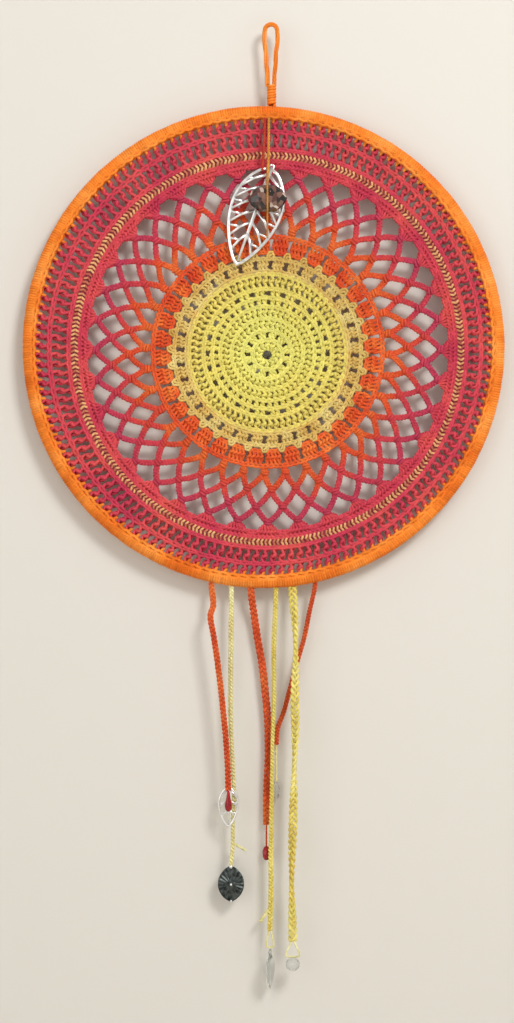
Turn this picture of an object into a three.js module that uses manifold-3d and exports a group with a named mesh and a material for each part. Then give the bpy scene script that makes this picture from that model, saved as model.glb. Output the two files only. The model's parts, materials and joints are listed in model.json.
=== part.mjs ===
// Crochet dream catcher: a metal hoop covered in yarn, a round crochet panel inside it, a hanging
// loop, a leaf pendant in front of the panel and six crocheted tassel tapes with charms below.
// Millimetres. X is to the viewer's right, Y away from the viewer, Z up.
// The origin is the point inside the top of the hanging loop that rests on whatever holds it.
import * as THREE from "three";
import { mergeVertices } from "three/addons/utils/BufferGeometryUtils.js";
import Module from "manifold-3d";

const wasm = await Module();
wasm.setup();

// Gap kept between pieces that touch on the real object.
const CLEARANCE = 0.3;

// Hanging loop and the knot that ties it to the hoop.
const LOOP_YARN_RADIUS = 1.6;
const LOOP_HALF_WIDTH = 4.2;
const LOOP_DROP = 41;
const LOOP_FOOT_HALF_WIDTH = 1.95;
const KNOT_RADIUS = 3;
const KNOT_NECK_RADIUS = 2.4;
const KNOT_FOOT_RADIUS = 3.2;
const KNOT_STEM = 9.6;
const KNOT_X = 0.4;

// Hoop ring and the crocheted cover round it.
const HOOP_X = -4.8;
const HOOP_RADIUS = 151;
const HOOP_WIRE_RADIUS = 2;
const COVER_RADIUS = 4.6;
const COVER_SLIT = 1;

// Crochet panel, from the eye out to the net and from the cover in to the fans.
const PANEL_THICKNESS = 3;
const REPEATS = 36;
const EYE_RADIUS = 3;
const EYE_GAPS = 12;
const EYE_GAP_START = 9.8;
const EYE_GAP_LENGTH = 4.8;
const EYE_GAP_WIDTH = 3.4;
const YELLOW_RADIUS = 51.6;
const YELLOW_GAPS = 24;
const YELLOW_GAP_START = 36;
const YELLOW_GAP_LENGTH = 4.4;
const YELLOW_GAP_WIDTH = 3;
const PALE_WIDTH = 9.1;
const PALE_GAP_MARGIN = 1.5;
const PALE_GAP_WIDTH = 2.2;
const CLUSTER_WIDTH = 13.5;
const CLUSTER_GAP_START = 4.6;
const CLUSTER_GAP_LENGTH = 6.6;
const CLUSTER_GAP_WIDTH = 2.8;
const FAN_HEIGHT = 9.9;
const FAN_RIM = 4.2;
const FAN_FOOT_WIDTH = 5;
const GOLD_WIDTH = 5.5;
const INNER_BAND_WIDTH = 11.4;
const OUTER_BAND_WIDTH = 6.4;

// Net of chain loops: rows of knots as shares of the net's width, and the strand between two gaps.
const NET_ROWS = { anchor: 0.1, low: 0.41, high: 0.72 };
const NET_KNOT_WIDTH = 5.6;
const NET_KNOT_HEIGHT = 8.6;
const NET_GAP_TOP_WIDTH = 4;
const NET_RIM = 1.8;
const NET_LAG_DEGREES = 3.5;

// The eye and the gold round sit a little off the hoop's centre, as the stitches pull them.
const EYE_SHIFT = new THREE.Vector2(2.4, -5.2);
const GOLD_SHIFT = new THREE.Vector2(2.8, -1.3);

// Leaf pendant on two strands of yarn in front of the panel.
const PENDANT_X = 2.2;
const PENDANT_YARN_RADIUS = 1;
const PENDANT_START_DEGREES = 45;
const PENDANT_BEND = { red: 0.2, gold: 3.2, drop: 20 };
const RED_STRAND_END = { x: -0.7, drop: 38 };
const LEAF_LENGTH = 65.5;
const LEAF_WIDTH = 34.6;
const LEAF_THICKNESS = 1.2;
const LEAF_VEINS = 6;
const LEAF_TILT_DEGREES = -19.9;
const LEAF_FRONT = -5.6;
const LEAF_EYELET_X = 5.1;
const LEAF_EYELET_DROP = 35.8;
const EYELET_RADIUS = 2.2;
const EYELET_HOLE_RADIUS = 0.9;
const CRYSTAL_HALF_LENGTH = 12.8;
const CRYSTAL_RADIUS = 9;
const CRYSTAL_HALF_DEPTH = 4.2;
const CRYSTAL_GIRDLE = 5.6;
const CRYSTAL_SHOULDER = 10.2;
const CRYSTAL_DROP = 56.8;
const CRYSTAL_X = 2.4;
const PENDANT_TAIL_LENGTH = 16;

// Tassels hang in three layers, so that they cross without touching.
const LAYERS = { front: -6.2, middle: 0, back: 5.4 };
const LAYER_DROP = 24;
const THREAD_RADIUS = 0.65;

// Charms and beads.
const SMALL_LEAF_LENGTH = 25;
const SMALL_LEAF_WIDTH = 13.5;
const SMALL_LEAF_THICKNESS = 0.9;
const SMALL_LEAF_VEINS = 3;
const SMALL_LEAF_RISE = 1.5;
const RED_DROP_LENGTH = 14;
const RED_DROP_RADIUS = 2.4;
const MEDALLION_WIDTH = 16.8;
const MEDALLION_LENGTH = 23.5;
const MEDALLION_THICKNESS = 3;
const RUBY_LENGTH = 9;
const RUBY_RADIUS = 2.6;
const RUBY_THREAD = 14;
const CLEAR_LEAF_LENGTH = 23;
const CLEAR_LEAF_WIDTH = 13;
const CLEAR_LEAF_THICKNESS = 2.6;
const CLEAR_LEAF_TURN_DEGREES = 65;
const CLEAR_LOOP_WIDTH = 4.6;
const CLEAR_LOOP_DROP = 10;
const GLASS_DROP_RADIUS = 4.6;
const GLASS_DROP_LENGTH = 8;
const GLASS_LOOP_WIDTH = 8.6;
const GLASS_LOOP_DROP = 9.4;
const CRYSTAL_BEAD_LENGTH = 11;
const CRYSTAL_BEAD_RADIUS = 2.3;
const CRYSTAL_THREAD = 24;
const CREAM_TAIL = { rise: 14, reach: 5.4, fall: 4, radius: 0.9 };
const YELLOW_TAIL = { rise: 13, reach: 3.6, fall: 8, radius: 1.2 };

// Tape routes: x from the hoop's centre and drop from the hoop's lowest point, both chosen by eye.
const TAPES = {
  orange: {
    radius: 2.1,
    layer: "front",
    x: -33.6,
    route: [
      [-32.3, 10.7], [-34.2, 17.2], [-32, 30.1], [-28.1, 59.1],
      [-24.9, 88.1], [-22.9, 117.1], [-22.6, 128.7],
    ],
  },
  cream: {
    radius: 1.75,
    layer: "middle",
    x: -20.7,
    route: [
      [-21, 33.3], [-21.3, 72], [-21, 94.6], [-19.1, 133.3],
      [-19.7, 146.2], [-20, 168.7], [-21, 178.4],
    ],
  },
  red: {
    radius: 2.4,
    layer: "back",
    x: -8.1,
    route: [
      [-6.2, 17.2], [-4.2, 30.1], [-1, 49.4], [1.6, 72],
      [2.9, 88.1], [2.9, 113.9], [2.2, 130], [1.9, 152.6],
    ],
  },
  thin_yellow: {
    radius: 1.7,
    layer: "middle",
    x: 8,
    route: [
      [6.7, 39.7], [6.7, 72], [5.8, 97.8], [5.4, 130],
      [4.8, 168.7], [4.8, 201], [4.2, 220.3],
    ],
  },
  wide_yellow: {
    radius: 2.5,
    layer: "front",
    x: 18.7,
    route: [
      [20.6, 33.3], [20, 72], [20.3, 91.3], [19.3, 128.5],
      [18.7, 152.6], [18, 188.1], [18.3, 204.2], [18.7, 225.5],
    ],
  },
  crimson: {
    radius: 1.6,
    layer: "back",
    x: 33.2,
    route: [
      [30, 13.9], [26.1, 33.3], [22.9, 44.2], [17.1, 65.5],
      [12.5, 81.7], [9, 91.3], [8.3, 101],
    ],
  },
};

// How finely curves are stepped.
const ROUND_STEPS = 2 * REPEATS;
const COVER_OUTER_STEPS = 10;
const COVER_INNER_STEPS = 6;
const WIRE_SIDES = 6;
const CORD_SIDES = 8;
const STEP_DIAMETERS = 2.5;
const FINE_STEP_DIAMETERS = 0.8;
const BEAD_SIDES = 8;
const LEAF_EDGE_STEPS = 9;

// Places that follow from the sizes above.
const knotZ = -LOOP_DROP;
const hoopTopZ = knotZ - KNOT_STEM - CLEARANCE - COVER_RADIUS;
const hoopZ = hoopTopZ - HOOP_RADIUS;
const coverOuter = HOOP_RADIUS + COVER_RADIUS;
const coverInner = HOOP_RADIUS - COVER_RADIUS;
const hoopBottomZ = hoopZ - coverOuter;

const outerBand = { outer: coverInner - CLEARANCE };
outerBand.inner = outerBand.outer - OUTER_BAND_WIDTH;
const innerBand = { outer: outerBand.inner - CLEARANCE };
innerBand.inner = innerBand.outer - INNER_BAND_WIDTH;
const goldRound = { outer: innerBand.inner - CLEARANCE };
goldRound.inner = goldRound.outer - GOLD_WIDTH;
const fanRound = { outer: goldRound.inner - CLEARANCE };
fanRound.inner = fanRound.outer - FAN_HEIGHT;
const paleRound = { inner: YELLOW_RADIUS + CLEARANCE };
paleRound.outer = paleRound.inner + PALE_WIDTH;
const clusterRound = { inner: paleRound.outer + CLEARANCE };
clusterRound.outer = clusterRound.inner + CLUSTER_WIDTH;
const net = { inner: clusterRound.outer + CLEARANCE, outer: fanRound.inner - CLEARANCE };

// Materials.
const finish = (color, roughness, metalness) =>
  new THREE.MeshStandardMaterial({ color, roughness, metalness });
const yarn = (color) => finish(color, 0.9, 0);
const metal = (color) => finish(color, 0.3, 1);
const glass = (color) => finish(color, 0.08, 0);
const ORANGE_YARN = yarn(0xe8852f);
const YELLOW_YARN = yarn(0xe3d06a);
const PALE_YARN = yarn(0xe6c98a);
const FLAME_YARN = yarn(0xd8542c);
const SUNSET_YARN = yarn(0xc8473f);
const CRIMSON_YARN = yarn(0xb8383c);
const GOLD_ROSE_YARN = yarn(0xb9875c);
const SILVER = metal(0xe4e6e8);
const STEEL = metal(0x9a9c9e);
const PEWTER = metal(0x3d4144);
const SMOKY_GLASS = glass(0x5a3a2a);
const RED_GLASS = glass(0xb0101c);
const CLEAR_GLASS = glass(0xd8dcda);

const dreamCatcher = new THREE.Group();

function add(name, geometry, material) {
  const mesh = new THREE.Mesh(geometry, material);
  mesh.name = name;
  dreamCatcher.add(mesh);
}

// Boolean join of closed geometries.
function solidOf(geometry) {
  const bare = new THREE.BufferGeometry();
  const source = geometry.index ? geometry.toNonIndexed() : geometry;
  bare.setAttribute("position", source.getAttribute("position"));
  const merged = mergeVertices(bare);
  return new wasm.Manifold(
    new wasm.Mesh({
      numProp: 3,
      vertProperties: merged.getAttribute("position").array,
      triVerts: new Uint32Array(merged.index.array),
    }),
  );
}

function joined(first, second) {
  const mesh = solidOf(first).add(solidOf(second)).getMesh();
  const geometry = new THREE.BufferGeometry();
  geometry.setAttribute("position", new THREE.BufferAttribute(mesh.vertProperties, mesh.numProp));
  geometry.setIndex(new THREE.BufferAttribute(mesh.triVerts, 1));
  return geometry;
}

// A flat piece drawn as the viewer sees it, x to the right and z up, centred on depth y.
function plate(outline, holes, thickness, y) {
  const shape = new THREE.Shape(THREE.ShapeUtils.isClockWise(outline) ? [...outline].reverse() : outline);
  shape.holes = holes.map((points) => new THREE.Path(points));
  const geometry = new THREE.ExtrudeGeometry(shape, { depth: thickness, bevelEnabled: false });
  geometry.rotateX(Math.PI / 2);
  geometry.translate(0, y + thickness / 2, 0);
  return geometry;
}

// A cord of round section along a smooth curve through the points.
const cordPath = (points) => new THREE.CatmullRomCurve3(points, false, "centripetal");

function cord(points, radius, stepDiameters = STEP_DIAMETERS) {
  const path = cordPath(points);
  const steps = Math.max(3, Math.round(path.getLength() / (2 * radius * stepDiameters)));
  const section = [];
  for (let side = 0; side < CORD_SIDES; side += 1) {
    const angle = (2 * Math.PI * side) / CORD_SIDES;
    section.push(new THREE.Vector2(radius * Math.cos(angle), radius * Math.sin(angle)));
  }
  return new THREE.ExtrudeGeometry(new THREE.Shape(section), { steps, extrudePath: path });
}

// A turned piece with an upright axis, from stops of radius and height read upwards.
function turned(stops, sides) {
  const profile = stops.map(([radius, height]) => new THREE.Vector2(radius, height));
  return new THREE.LatheGeometry(profile, sides).rotateX(Math.PI / 2);
}

// The hoop: a closed metal ring, revolved about the hoop's own axis.
function hoopRing() {
  const section = [];
  for (let side = 0; side <= WIRE_SIDES; side += 1) {
    const angle = (2 * Math.PI * side) / WIRE_SIDES;
    section.push(
      new THREE.Vector2(HOOP_RADIUS + HOOP_WIRE_RADIUS * Math.cos(angle), HOOP_WIRE_RADIUS * Math.sin(angle)),
    );
  }
  return new THREE.LatheGeometry(section, ROUND_STEPS);
}

// The cover: a sleeve round the ring, open along a narrow slit at the back where its edges meet.
function hoopCover() {
  const inside = (HOOP_WIRE_RADIUS + CLEARANCE) / Math.cos(Math.PI / COVER_INNER_STEPS);
  const arc = (radius, steps, from, to) => {
    const points = [];
    for (let step = 0; step <= steps; step += 1) {
      const angle = from + ((to - from) * step) / steps;
      points.push(new THREE.Vector2(HOOP_RADIUS + radius * Math.cos(angle), radius * Math.sin(angle)));
    }
    return points;
  };
  const back = Math.PI / 2;
  const slitEdges = (radius) => {
    const half = COVER_SLIT / 2 / radius;
    return [back + half, back + 2 * Math.PI - half];
  };
  const [outerFrom, outerTo] = slitEdges(COVER_RADIUS);
  const [innerFrom, innerTo] = slitEdges(inside);
  const outer = arc(COVER_RADIUS, COVER_OUTER_STEPS, outerFrom, outerTo);
  const inner = arc(inside, COVER_INNER_STEPS, innerTo, innerFrom);
  return new THREE.LatheGeometry([...outer, ...inner, outer[0]], ROUND_STEPS);
}

const placeOnHoop = (geometry) => geometry.translate(HOOP_X, 0, hoopZ);
add("hoop_ring", placeOnHoop(hoopRing()), STEEL);
add("hoop_cover", placeOnHoop(hoopCover()), ORANGE_YARN);

// Panel: how far the stitches of a given round lie off the hoop's centre.
function panelShift(radius) {
  const goldMiddle = (goldRound.inner + goldRound.outer) / 2;
  if (radius <= goldMiddle) {
    return EYE_SHIFT.clone().lerp(GOLD_SHIFT, radius / goldMiddle);
  }
  return GOLD_SHIFT.clone().multiplyScalar((coverInner - radius) / (coverInner - goldMiddle));
}

// A point of the panel, by radius and by turns clockwise from the top.
function panelPoint(radius, turns) {
  const shift = panelShift(radius);
  const angle = 2 * Math.PI * turns;
  return new THREE.Vector2(
    HOOP_X + shift.x + radius * Math.sin(angle),
    hoopZ + shift.y + radius * Math.cos(angle),
  );
}

// Points by radius and sideways offset, read clockwise about a line at the given turns.
const panelPoints = (turns, stops) =>
  stops.map(([radius, offset]) => panelPoint(radius, turns + offset / (2 * Math.PI * radius)));

function circle(radius) {
  const points = [];
  for (let step = 0; step < ROUND_STEPS; step += 1) {
    points.push(panelPoint(radius, step / ROUND_STEPS));
  }
  return points;
}

const repeated = (count, make) => Array.from({ length: count }, (unused, index) => make(index / count));
const halfRepeat = 0.5 / REPEATS;

function slot(turns, start, length, width) {
  const end = start + length;
  return panelPoints(turns, [[start, -width / 2], [start, width / 2], [end, width / 2], [end, -width / 2]]);
}

function panelRound(round, holes) {
  return plate(circle(round.outer), [circle(round.inner), ...holes], PANEL_THICKNESS, 0);
}

function yellowCentre() {
  const eyeGaps = repeated(EYE_GAPS, (turns) => slot(turns, EYE_GAP_START, EYE_GAP_LENGTH, EYE_GAP_WIDTH));
  const yellowGap = (turns) => slot(turns, YELLOW_GAP_START, YELLOW_GAP_LENGTH, YELLOW_GAP_WIDTH);
  const gaps = repeated(YELLOW_GAPS, yellowGap);
  const eye = repeated(EYE_GAPS, (turns) => panelPoint(EYE_RADIUS, turns));
  return plate(circle(YELLOW_RADIUS), [eye, ...eyeGaps, ...gaps], PANEL_THICKNESS, 0);
}

function paleEdge() {
  const start = paleRound.inner + PALE_GAP_MARGIN;
  const length = PALE_WIDTH - 2 * PALE_GAP_MARGIN;
  const gaps = repeated(REPEATS, (turns) => slot(turns, start, length, PALE_GAP_WIDTH));
  return panelRound(paleRound, gaps);
}

function orangeClusters() {
  const start = clusterRound.inner + CLUSTER_GAP_START;
  const gaps = repeated(REPEATS, (turns) => slot(turns, start, CLUSTER_GAP_LENGTH, CLUSTER_GAP_WIDTH));
  return panelRound(clusterRound, gaps);
}

// Knots of the net lag behind the fans as the rows go in towards the clusters.
const netRadius = (share) => net.inner + share * (net.outer - net.inner);
const netLag = (share) => (-NET_LAG_DEGREES / 360) * (1 - share);
const halfPitch = (radius) => (Math.PI * radius) / REPEATS;

// A six-sided gap between four knots: two beside it, one above and one below.
function netGap(turns, below, beside, above) {
  const middle = netRadius(beside);
  const top = netRadius(above) - NET_KNOT_HEIGHT / 2;
  const bottom = netRadius(below) + NET_KNOT_HEIGHT / 2;
  const halfWidth = halfPitch(middle) - NET_KNOT_WIDTH / 2;
  const halfTop = NET_GAP_TOP_WIDTH / 2;
  return [
    ...panelPoints(turns + netLag(below), [[bottom, -halfTop], [bottom, halfTop]]),
    ...panelPoints(turns + netLag(beside), [[middle, halfWidth]]),
    ...panelPoints(turns + netLag(above), [[top, halfTop], [top, -halfTop]]),
    ...panelPoints(turns + netLag(beside), [[middle, -halfWidth]]),
  ];
}

// The innermost gaps stand on the edge of the clusters and close under the lowest knots.
function netFootGap(turns) {
  const foot = net.inner + NET_RIM;
  const shoulder = Math.max(netRadius(NET_ROWS.anchor), foot + NET_RIM);
  const top = netRadius(NET_ROWS.low) - NET_KNOT_HEIGHT / 2;
  const halfWidth = halfPitch(shoulder) - NET_KNOT_WIDTH / 2;
  const halfTop = NET_GAP_TOP_WIDTH / 2;
  const foothold = turns + netLag(NET_ROWS.anchor);
  return [
    ...panelPoints(foothold, [[foot, -halfWidth], [foot, halfWidth], [shoulder, halfWidth]]),
    ...panelPoints(turns + netLag(NET_ROWS.low), [[top, halfTop], [top, -halfTop]]),
    ...panelPoints(foothold, [[shoulder, -halfWidth]]),
  ];
}

function trellisNet() {
  const valley = netRadius(NET_ROWS.high) + NET_RIM;
  const halfFoot = FAN_FOOT_WIDTH / 2;
  const halfTop = NET_GAP_TOP_WIDTH / 2;
  const edge = repeated(REPEATS, (turns) => [
    ...panelPoints(turns, [[net.outer, -halfFoot], [net.outer, halfFoot]]),
    ...panelPoints(turns + halfRepeat + netLag(NET_ROWS.high), [[valley, -halfTop], [valley, halfTop]]),
  ]).flat();
  const gaps = [
    ...repeated(REPEATS, (turns) => netGap(turns, NET_ROWS.low, NET_ROWS.high, 1)),
    ...repeated(REPEATS, (turns) => netGap(turns + halfRepeat, NET_ROWS.anchor, NET_ROWS.low, NET_ROWS.high)),
    ...repeated(REPEATS, netFootGap),
  ];
  return plate(edge, [circle(net.inner), ...gaps], PANEL_THICKNESS, 0);
}

// Fans spread from the net's outer knots, with an arch between each two.
function crimsonFans() {
  const halfFoot = FAN_FOOT_WIDTH / 2;
  const arch = fanRound.outer - FAN_RIM;
  const halfArch = halfPitch(arch) - FAN_FOOT_WIDTH;
  const edge = repeated(REPEATS, (turns) => [
    ...panelPoints(turns, [[fanRound.inner, -halfFoot], [fanRound.inner, halfFoot]]),
    ...panelPoints(turns + halfRepeat, [[arch, -halfArch], [arch, halfArch]]),
  ]).flat();
  return plate(circle(fanRound.outer), [edge], PANEL_THICKNESS, 0);
}

add("yellow_centre", yellowCentre(), YELLOW_YARN);
add("pale_yellow_round", paleEdge(), PALE_YARN);
add("orange_cluster_round", orangeClusters(), FLAME_YARN);
add("trellis_net", trellisNet(), SUNSET_YARN);
add("crimson_fan_round", crimsonFans(), CRIMSON_YARN);
add("gold_rose_round", panelRound(goldRound, []), GOLD_ROSE_YARN);
add("crimson_band_inner", panelRound(innerBand, []), CRIMSON_YARN);
add("crimson_band_outer", panelRound(outerBand, []), CRIMSON_YARN);

// Hanging loop: one strand from the knot up over the holder and back down to the knot.
function hangingLoop() {
  const footZ = knotZ + KNOT_RADIUS + CLEARANCE;
  const crown = LOOP_HALF_WIDTH / Math.SQRT2;
  const crownZ = LOOP_YARN_RADIUS - (LOOP_HALF_WIDTH - crown);
  const sideZ = LOOP_YARN_RADIUS - LOOP_HALF_WIDTH;
  const strand = (side) => [
    [KNOT_X + side * LOOP_FOOT_HALF_WIDTH, footZ],
    [side * (LOOP_FOOT_HALF_WIDTH + LOOP_HALF_WIDTH) / 2, (footZ + sideZ) / 2],
    [side * LOOP_HALF_WIDTH, sideZ],
    [side * crown, crownZ],
  ];
  const stops = [...strand(-1), [0, LOOP_YARN_RADIUS], ...strand(1).reverse()];
  const points = stops.map(([x, z]) => new THREE.Vector3(x, 0, z));
  return cord(points, LOOP_YARN_RADIUS, FINE_STEP_DIAMETERS);
}

// Knot: a ball of wrapped yarn on a stem that stands on the hoop's cover.
function hangingKnot() {
  const ballSteps = CORD_SIDES / 2 + 1;
  const stops = [[0, -KNOT_STEM], [KNOT_FOOT_RADIUS, -KNOT_STEM], [KNOT_NECK_RADIUS, -KNOT_STEM / 2]];
  const neckAngle = Math.asin(KNOT_NECK_RADIUS / KNOT_RADIUS);
  for (let step = 0; step <= ballSteps; step += 1) {
    const angle = Math.PI - neckAngle - ((Math.PI - neckAngle) * step) / ballSteps;
    const radius = step === ballSteps ? 0 : KNOT_RADIUS * Math.sin(angle);
    stops.push([radius, KNOT_RADIUS * Math.cos(angle)]);
  }
  return turned(stops, BEAD_SIDES).translate(KNOT_X, 0, knotZ);
}

add("hanging_loop", hangingLoop(), ORANGE_YARN);
add("hanging_knot", hangingKnot(), ORANGE_YARN);

// Leaves: a rim, a midrib and side veins with openings between them, or a solid blade without veins.
const bladeHalfWidth = (share, width) => (width / 2) * Math.max(Math.sin(Math.PI * share ** 0.8), 0) ** 0.75;

// Openings as shares of the leaf: rim by its width, the rest by its length.
const LEAF_OPENINGS = { rim: 0.055, first: 0.1, last: 0.8, slope: 0.14 };
function leafOpenings(length, width, veins) {
  const rim = LEAF_OPENINGS.rim * width;
  const { first, last, slope } = LEAF_OPENINGS;
  const pitch = (last - first) / veins;
  const openings = [];
  for (const side of [-1, 1]) {
    for (let vein = 0; vein < veins; vein += 1) {
      const start = first + vein * pitch;
      const end = start + pitch - rim / length;
      const outerShares = [end + slope, (start + end) / 2 + slope, start + slope];
      const inner = [[rim / 2, start], [rim / 2, end]];
      const outer = outerShares.map((share) => [Math.max(bladeHalfWidth(share, width) - rim, rim), share]);
      openings.push([...inner, ...outer].map(([x, share]) => new THREE.Vector2(side * x, -share * length)));
    }
  }
  return openings;
}

// The leaf hangs from its eyelet's centre, blade down, and is centred on depth y.
function leaf(length, width, thickness, veins, y) {
  const right = [];
  for (let step = 0; step <= LEAF_EDGE_STEPS; step += 1) {
    const share = step / LEAF_EDGE_STEPS;
    right.push(new THREE.Vector2(share < 1 ? bladeHalfWidth(share, width) : 0, -share * length));
  }
  const left = right.slice(1, -1).reverse().map((point) => new THREE.Vector2(-point.x, point.y));
  const blade = plate([...right, ...left], veins ? leafOpenings(length, width, veins) : [], thickness, y);
  const ringAt = (radius) =>
    repeated(BEAD_SIDES, (turns) => {
      const angle = 2 * Math.PI * turns;
      return new THREE.Vector2(radius * Math.sin(angle), EYELET_HOLE_RADIUS + radius * Math.cos(angle));
    });
  const eyelet = plate(ringAt(EYELET_RADIUS), [ringAt(EYELET_HOLE_RADIUS)], thickness, y);
  return joined(blade, eyelet).translate(0, 0, -EYELET_HOLE_RADIUS);
}

const radians = THREE.MathUtils.degToRad;
const rightOfHoop = (x) => HOOP_X + x;

// Pendant: yarn from under the cover, down over the leaf's eyelet, to the smoky crystal.
const strandY = LEAF_FRONT - CLEARANCE - PENDANT_YARN_RADIUS;
const crystalY = LEAF_FRONT - CLEARANCE - CRYSTAL_HALF_DEPTH;
const crystalZ = hoopTopZ - CRYSTAL_DROP;

function pendantStrand(startX, stops) {
  const reach = COVER_RADIUS + CLEARANCE + PENDANT_YARN_RADIUS;
  const angle = radians(PENDANT_START_DEGREES);
  const start = new THREE.Vector3(
    rightOfHoop(startX),
    -reach * Math.sin(angle),
    hoopTopZ - reach * Math.cos(angle),
  );
  const rest = stops.map(([x, y, drop]) => new THREE.Vector3(rightOfHoop(x), y, hoopTopZ - drop));
  return cord([start, ...rest], PENDANT_YARN_RADIUS);
}

const goldEnd = CRYSTAL_DROP - CRYSTAL_RADIUS - CLEARANCE;
add(
  "pendant_cord_red",
  pendantStrand(PENDANT_X - PENDANT_YARN_RADIUS - CLEARANCE / 2, [
    [PENDANT_BEND.red, strandY, PENDANT_BEND.drop],
    [RED_STRAND_END.x, strandY, RED_STRAND_END.drop],
  ]),
  CRIMSON_YARN,
);
add(
  "pendant_cord_gold",
  pendantStrand(PENDANT_X + PENDANT_YARN_RADIUS + CLEARANCE / 2, [
    [PENDANT_BEND.gold, strandY, PENDANT_BEND.drop],
    [LEAF_EYELET_X - EYELET_RADIUS, strandY, LEAF_EYELET_DROP],
    [CRYSTAL_X, crystalY, goldEnd],
  ]),
  ORANGE_YARN,
);
add(
  "filigree_leaf",
  leaf(LEAF_LENGTH, LEAF_WIDTH, LEAF_THICKNESS, LEAF_VEINS, 0)
    .rotateY(-radians(LEAF_TILT_DEGREES))
    .translate(rightOfHoop(LEAF_EYELET_X), LEAF_FRONT + LEAF_THICKNESS / 2, hoopTopZ - LEAF_EYELET_DROP),
  SILVER,
);

// The crystal lies across its cord: a faceted drop with a flat girdle, pointed at both ends.
function smokyCrystal() {
  const stops = [
    [0, -CRYSTAL_HALF_LENGTH],
    [CRYSTAL_RADIUS / 2, -CRYSTAL_SHOULDER],
    [CRYSTAL_RADIUS, -CRYSTAL_GIRDLE],
    [CRYSTAL_RADIUS, CRYSTAL_GIRDLE],
    [CRYSTAL_RADIUS / 2, CRYSTAL_SHOULDER],
    [0, CRYSTAL_HALF_LENGTH],
  ];
  return turned(stops, BEAD_SIDES)
    .rotateY(Math.PI / 2)
    .scale(1, CRYSTAL_HALF_DEPTH / CRYSTAL_RADIUS, 1)
    .translate(rightOfHoop(CRYSTAL_X), crystalY, crystalZ);
}

add("smoky_crystal", smokyCrystal(), SMOKY_GLASS);
const tailTop = crystalZ - CRYSTAL_RADIUS - CLEARANCE;

// A straight hanging thread.
const below = (point, drop) => new THREE.Vector3(point.x, point.y, point.z - drop);
const thread = (top, length) => cord([top, below(top, length / 2), below(top, length)], THREAD_RADIUS);

const pendantTailTop = new THREE.Vector3(rightOfHoop(CRYSTAL_X), crystalY, tailTop);
add("pendant_tail", thread(pendantTailTop, PENDANT_TAIL_LENGTH), ORANGE_YARN);

// Tassel tapes: each hangs from a rounded top just under the cover and eases into its own layer.
function tapePoints({ radius, layer, x, route }) {
  const reach = coverOuter + CLEARANCE + radius;
  const top = new THREE.Vector3(rightOfHoop(x), 0, hoopZ - Math.sqrt(reach ** 2 - x ** 2));
  const depthAt = (drop) => LAYERS[layer] * THREE.MathUtils.smoothstep(drop, 0, LAYER_DROP);
  const placed = ([across, drop]) =>
    new THREE.Vector3(rightOfHoop(across), depthAt(drop), hoopBottomZ - drop);
  return [top, ...route.map(placed)];
}

function tape(sizes) {
  const points = tapePoints(sizes);
  const ball = new THREE.SphereGeometry(sizes.radius, CORD_SIDES, CORD_SIDES / 2);
  ball.translate(points[0].x, points[0].y, points[0].z);
  return joined(cord(points, sizes.radius), ball);
}

const tapeEnd = (name) => tapePoints(TAPES[name]).at(-1);
const TAPE_YARNS = {
  orange: FLAME_YARN,
  cream: PALE_YARN,
  red: FLAME_YARN,
  thin_yellow: YELLOW_YARN,
  wide_yellow: YELLOW_YARN,
  crimson: CRIMSON_YARN,
};
for (const [name, sizes] of Object.entries(TAPES)) {
  add(`tassel_${name}`, tape(sizes), TAPE_YARNS[name]);
}

// A bead on an upright hole: pointed, round or drop-shaped, by stops of radius and height shares.
function bead(stops, radius, length, top) {
  const sized = stops.map(([wide, high]) => [wide * radius, (high - 1) * length]);
  return turned(sized, BEAD_SIDES).translate(top.x, top.y, top.z);
}

const FACETED = [[0, 0], [0.5, 0.02], [1, 0.3], [1, 0.7], [0.5, 0.98], [0, 1]];
const DROP = [[0, 0], [0.6, 0.05], [1, 0.22], [0.8, 0.45], [0.4, 0.85], [0.3, 0.98], [0, 1]];

// A thread loop under a tape's end: down one side, across and up the other.
const LOOP_SAG = 1.02;
function threadLoop(top, width, drop) {
  const foot = THREAD_RADIUS + CLEARANCE / 2;
  const half = width / 2;
  const corner = 0.8 * half;
  const left = [[-foot, 0], [-half, 0.85], [-corner, 1]];
  const right = [[corner, 1], [half, 0.85], [foot, 0]];
  const points = [...left, [0, LOOP_SAG], ...right].map(
    ([x, share]) => new THREE.Vector3(top.x + x, top.y, top.z - share * drop),
  );
  return cord(points, THREAD_RADIUS, FINE_STEP_DIAMETERS);
}

// A cut yarn end that sticks out sideways from a tape, a rise above the tape's own end.
function yarnTail(name, side, { rise, reach, fall, radius }) {
  const path = cordPath(tapePoints(TAPES[name]));
  const seat = path.getPointAt(1 - rise / path.getLength());
  const start = new THREE.Vector3(seat.x + side * (TAPES[name].radius + radius + CLEARANCE), seat.y, seat.z);
  const tip = new THREE.Vector3(start.x + side * reach, seat.y, seat.z - fall);
  return cord([start, start.clone().lerp(tip, 0.5), tip], radius);
}

// Orange tape: a red glass drop in front of a small openwork leaf.
const orangeEnd = tapeEnd("orange");
const smallLeafFront = orangeEnd.y + Math.max(TAPES.orange.radius, RED_DROP_RADIUS) + CLEARANCE;
const smallLeafY = smallLeafFront + SMALL_LEAF_THICKNESS / 2;
add("red_drop", bead(DROP, RED_DROP_RADIUS, RED_DROP_LENGTH, below(orangeEnd, CLEARANCE)), RED_GLASS);
add(
  "small_leaf",
  leaf(SMALL_LEAF_LENGTH, SMALL_LEAF_WIDTH, SMALL_LEAF_THICKNESS, SMALL_LEAF_VEINS, smallLeafY)
    .translate(orangeEnd.x, 0, orangeEnd.z + SMALL_LEAF_RISE),
  SILVER,
);

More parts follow.
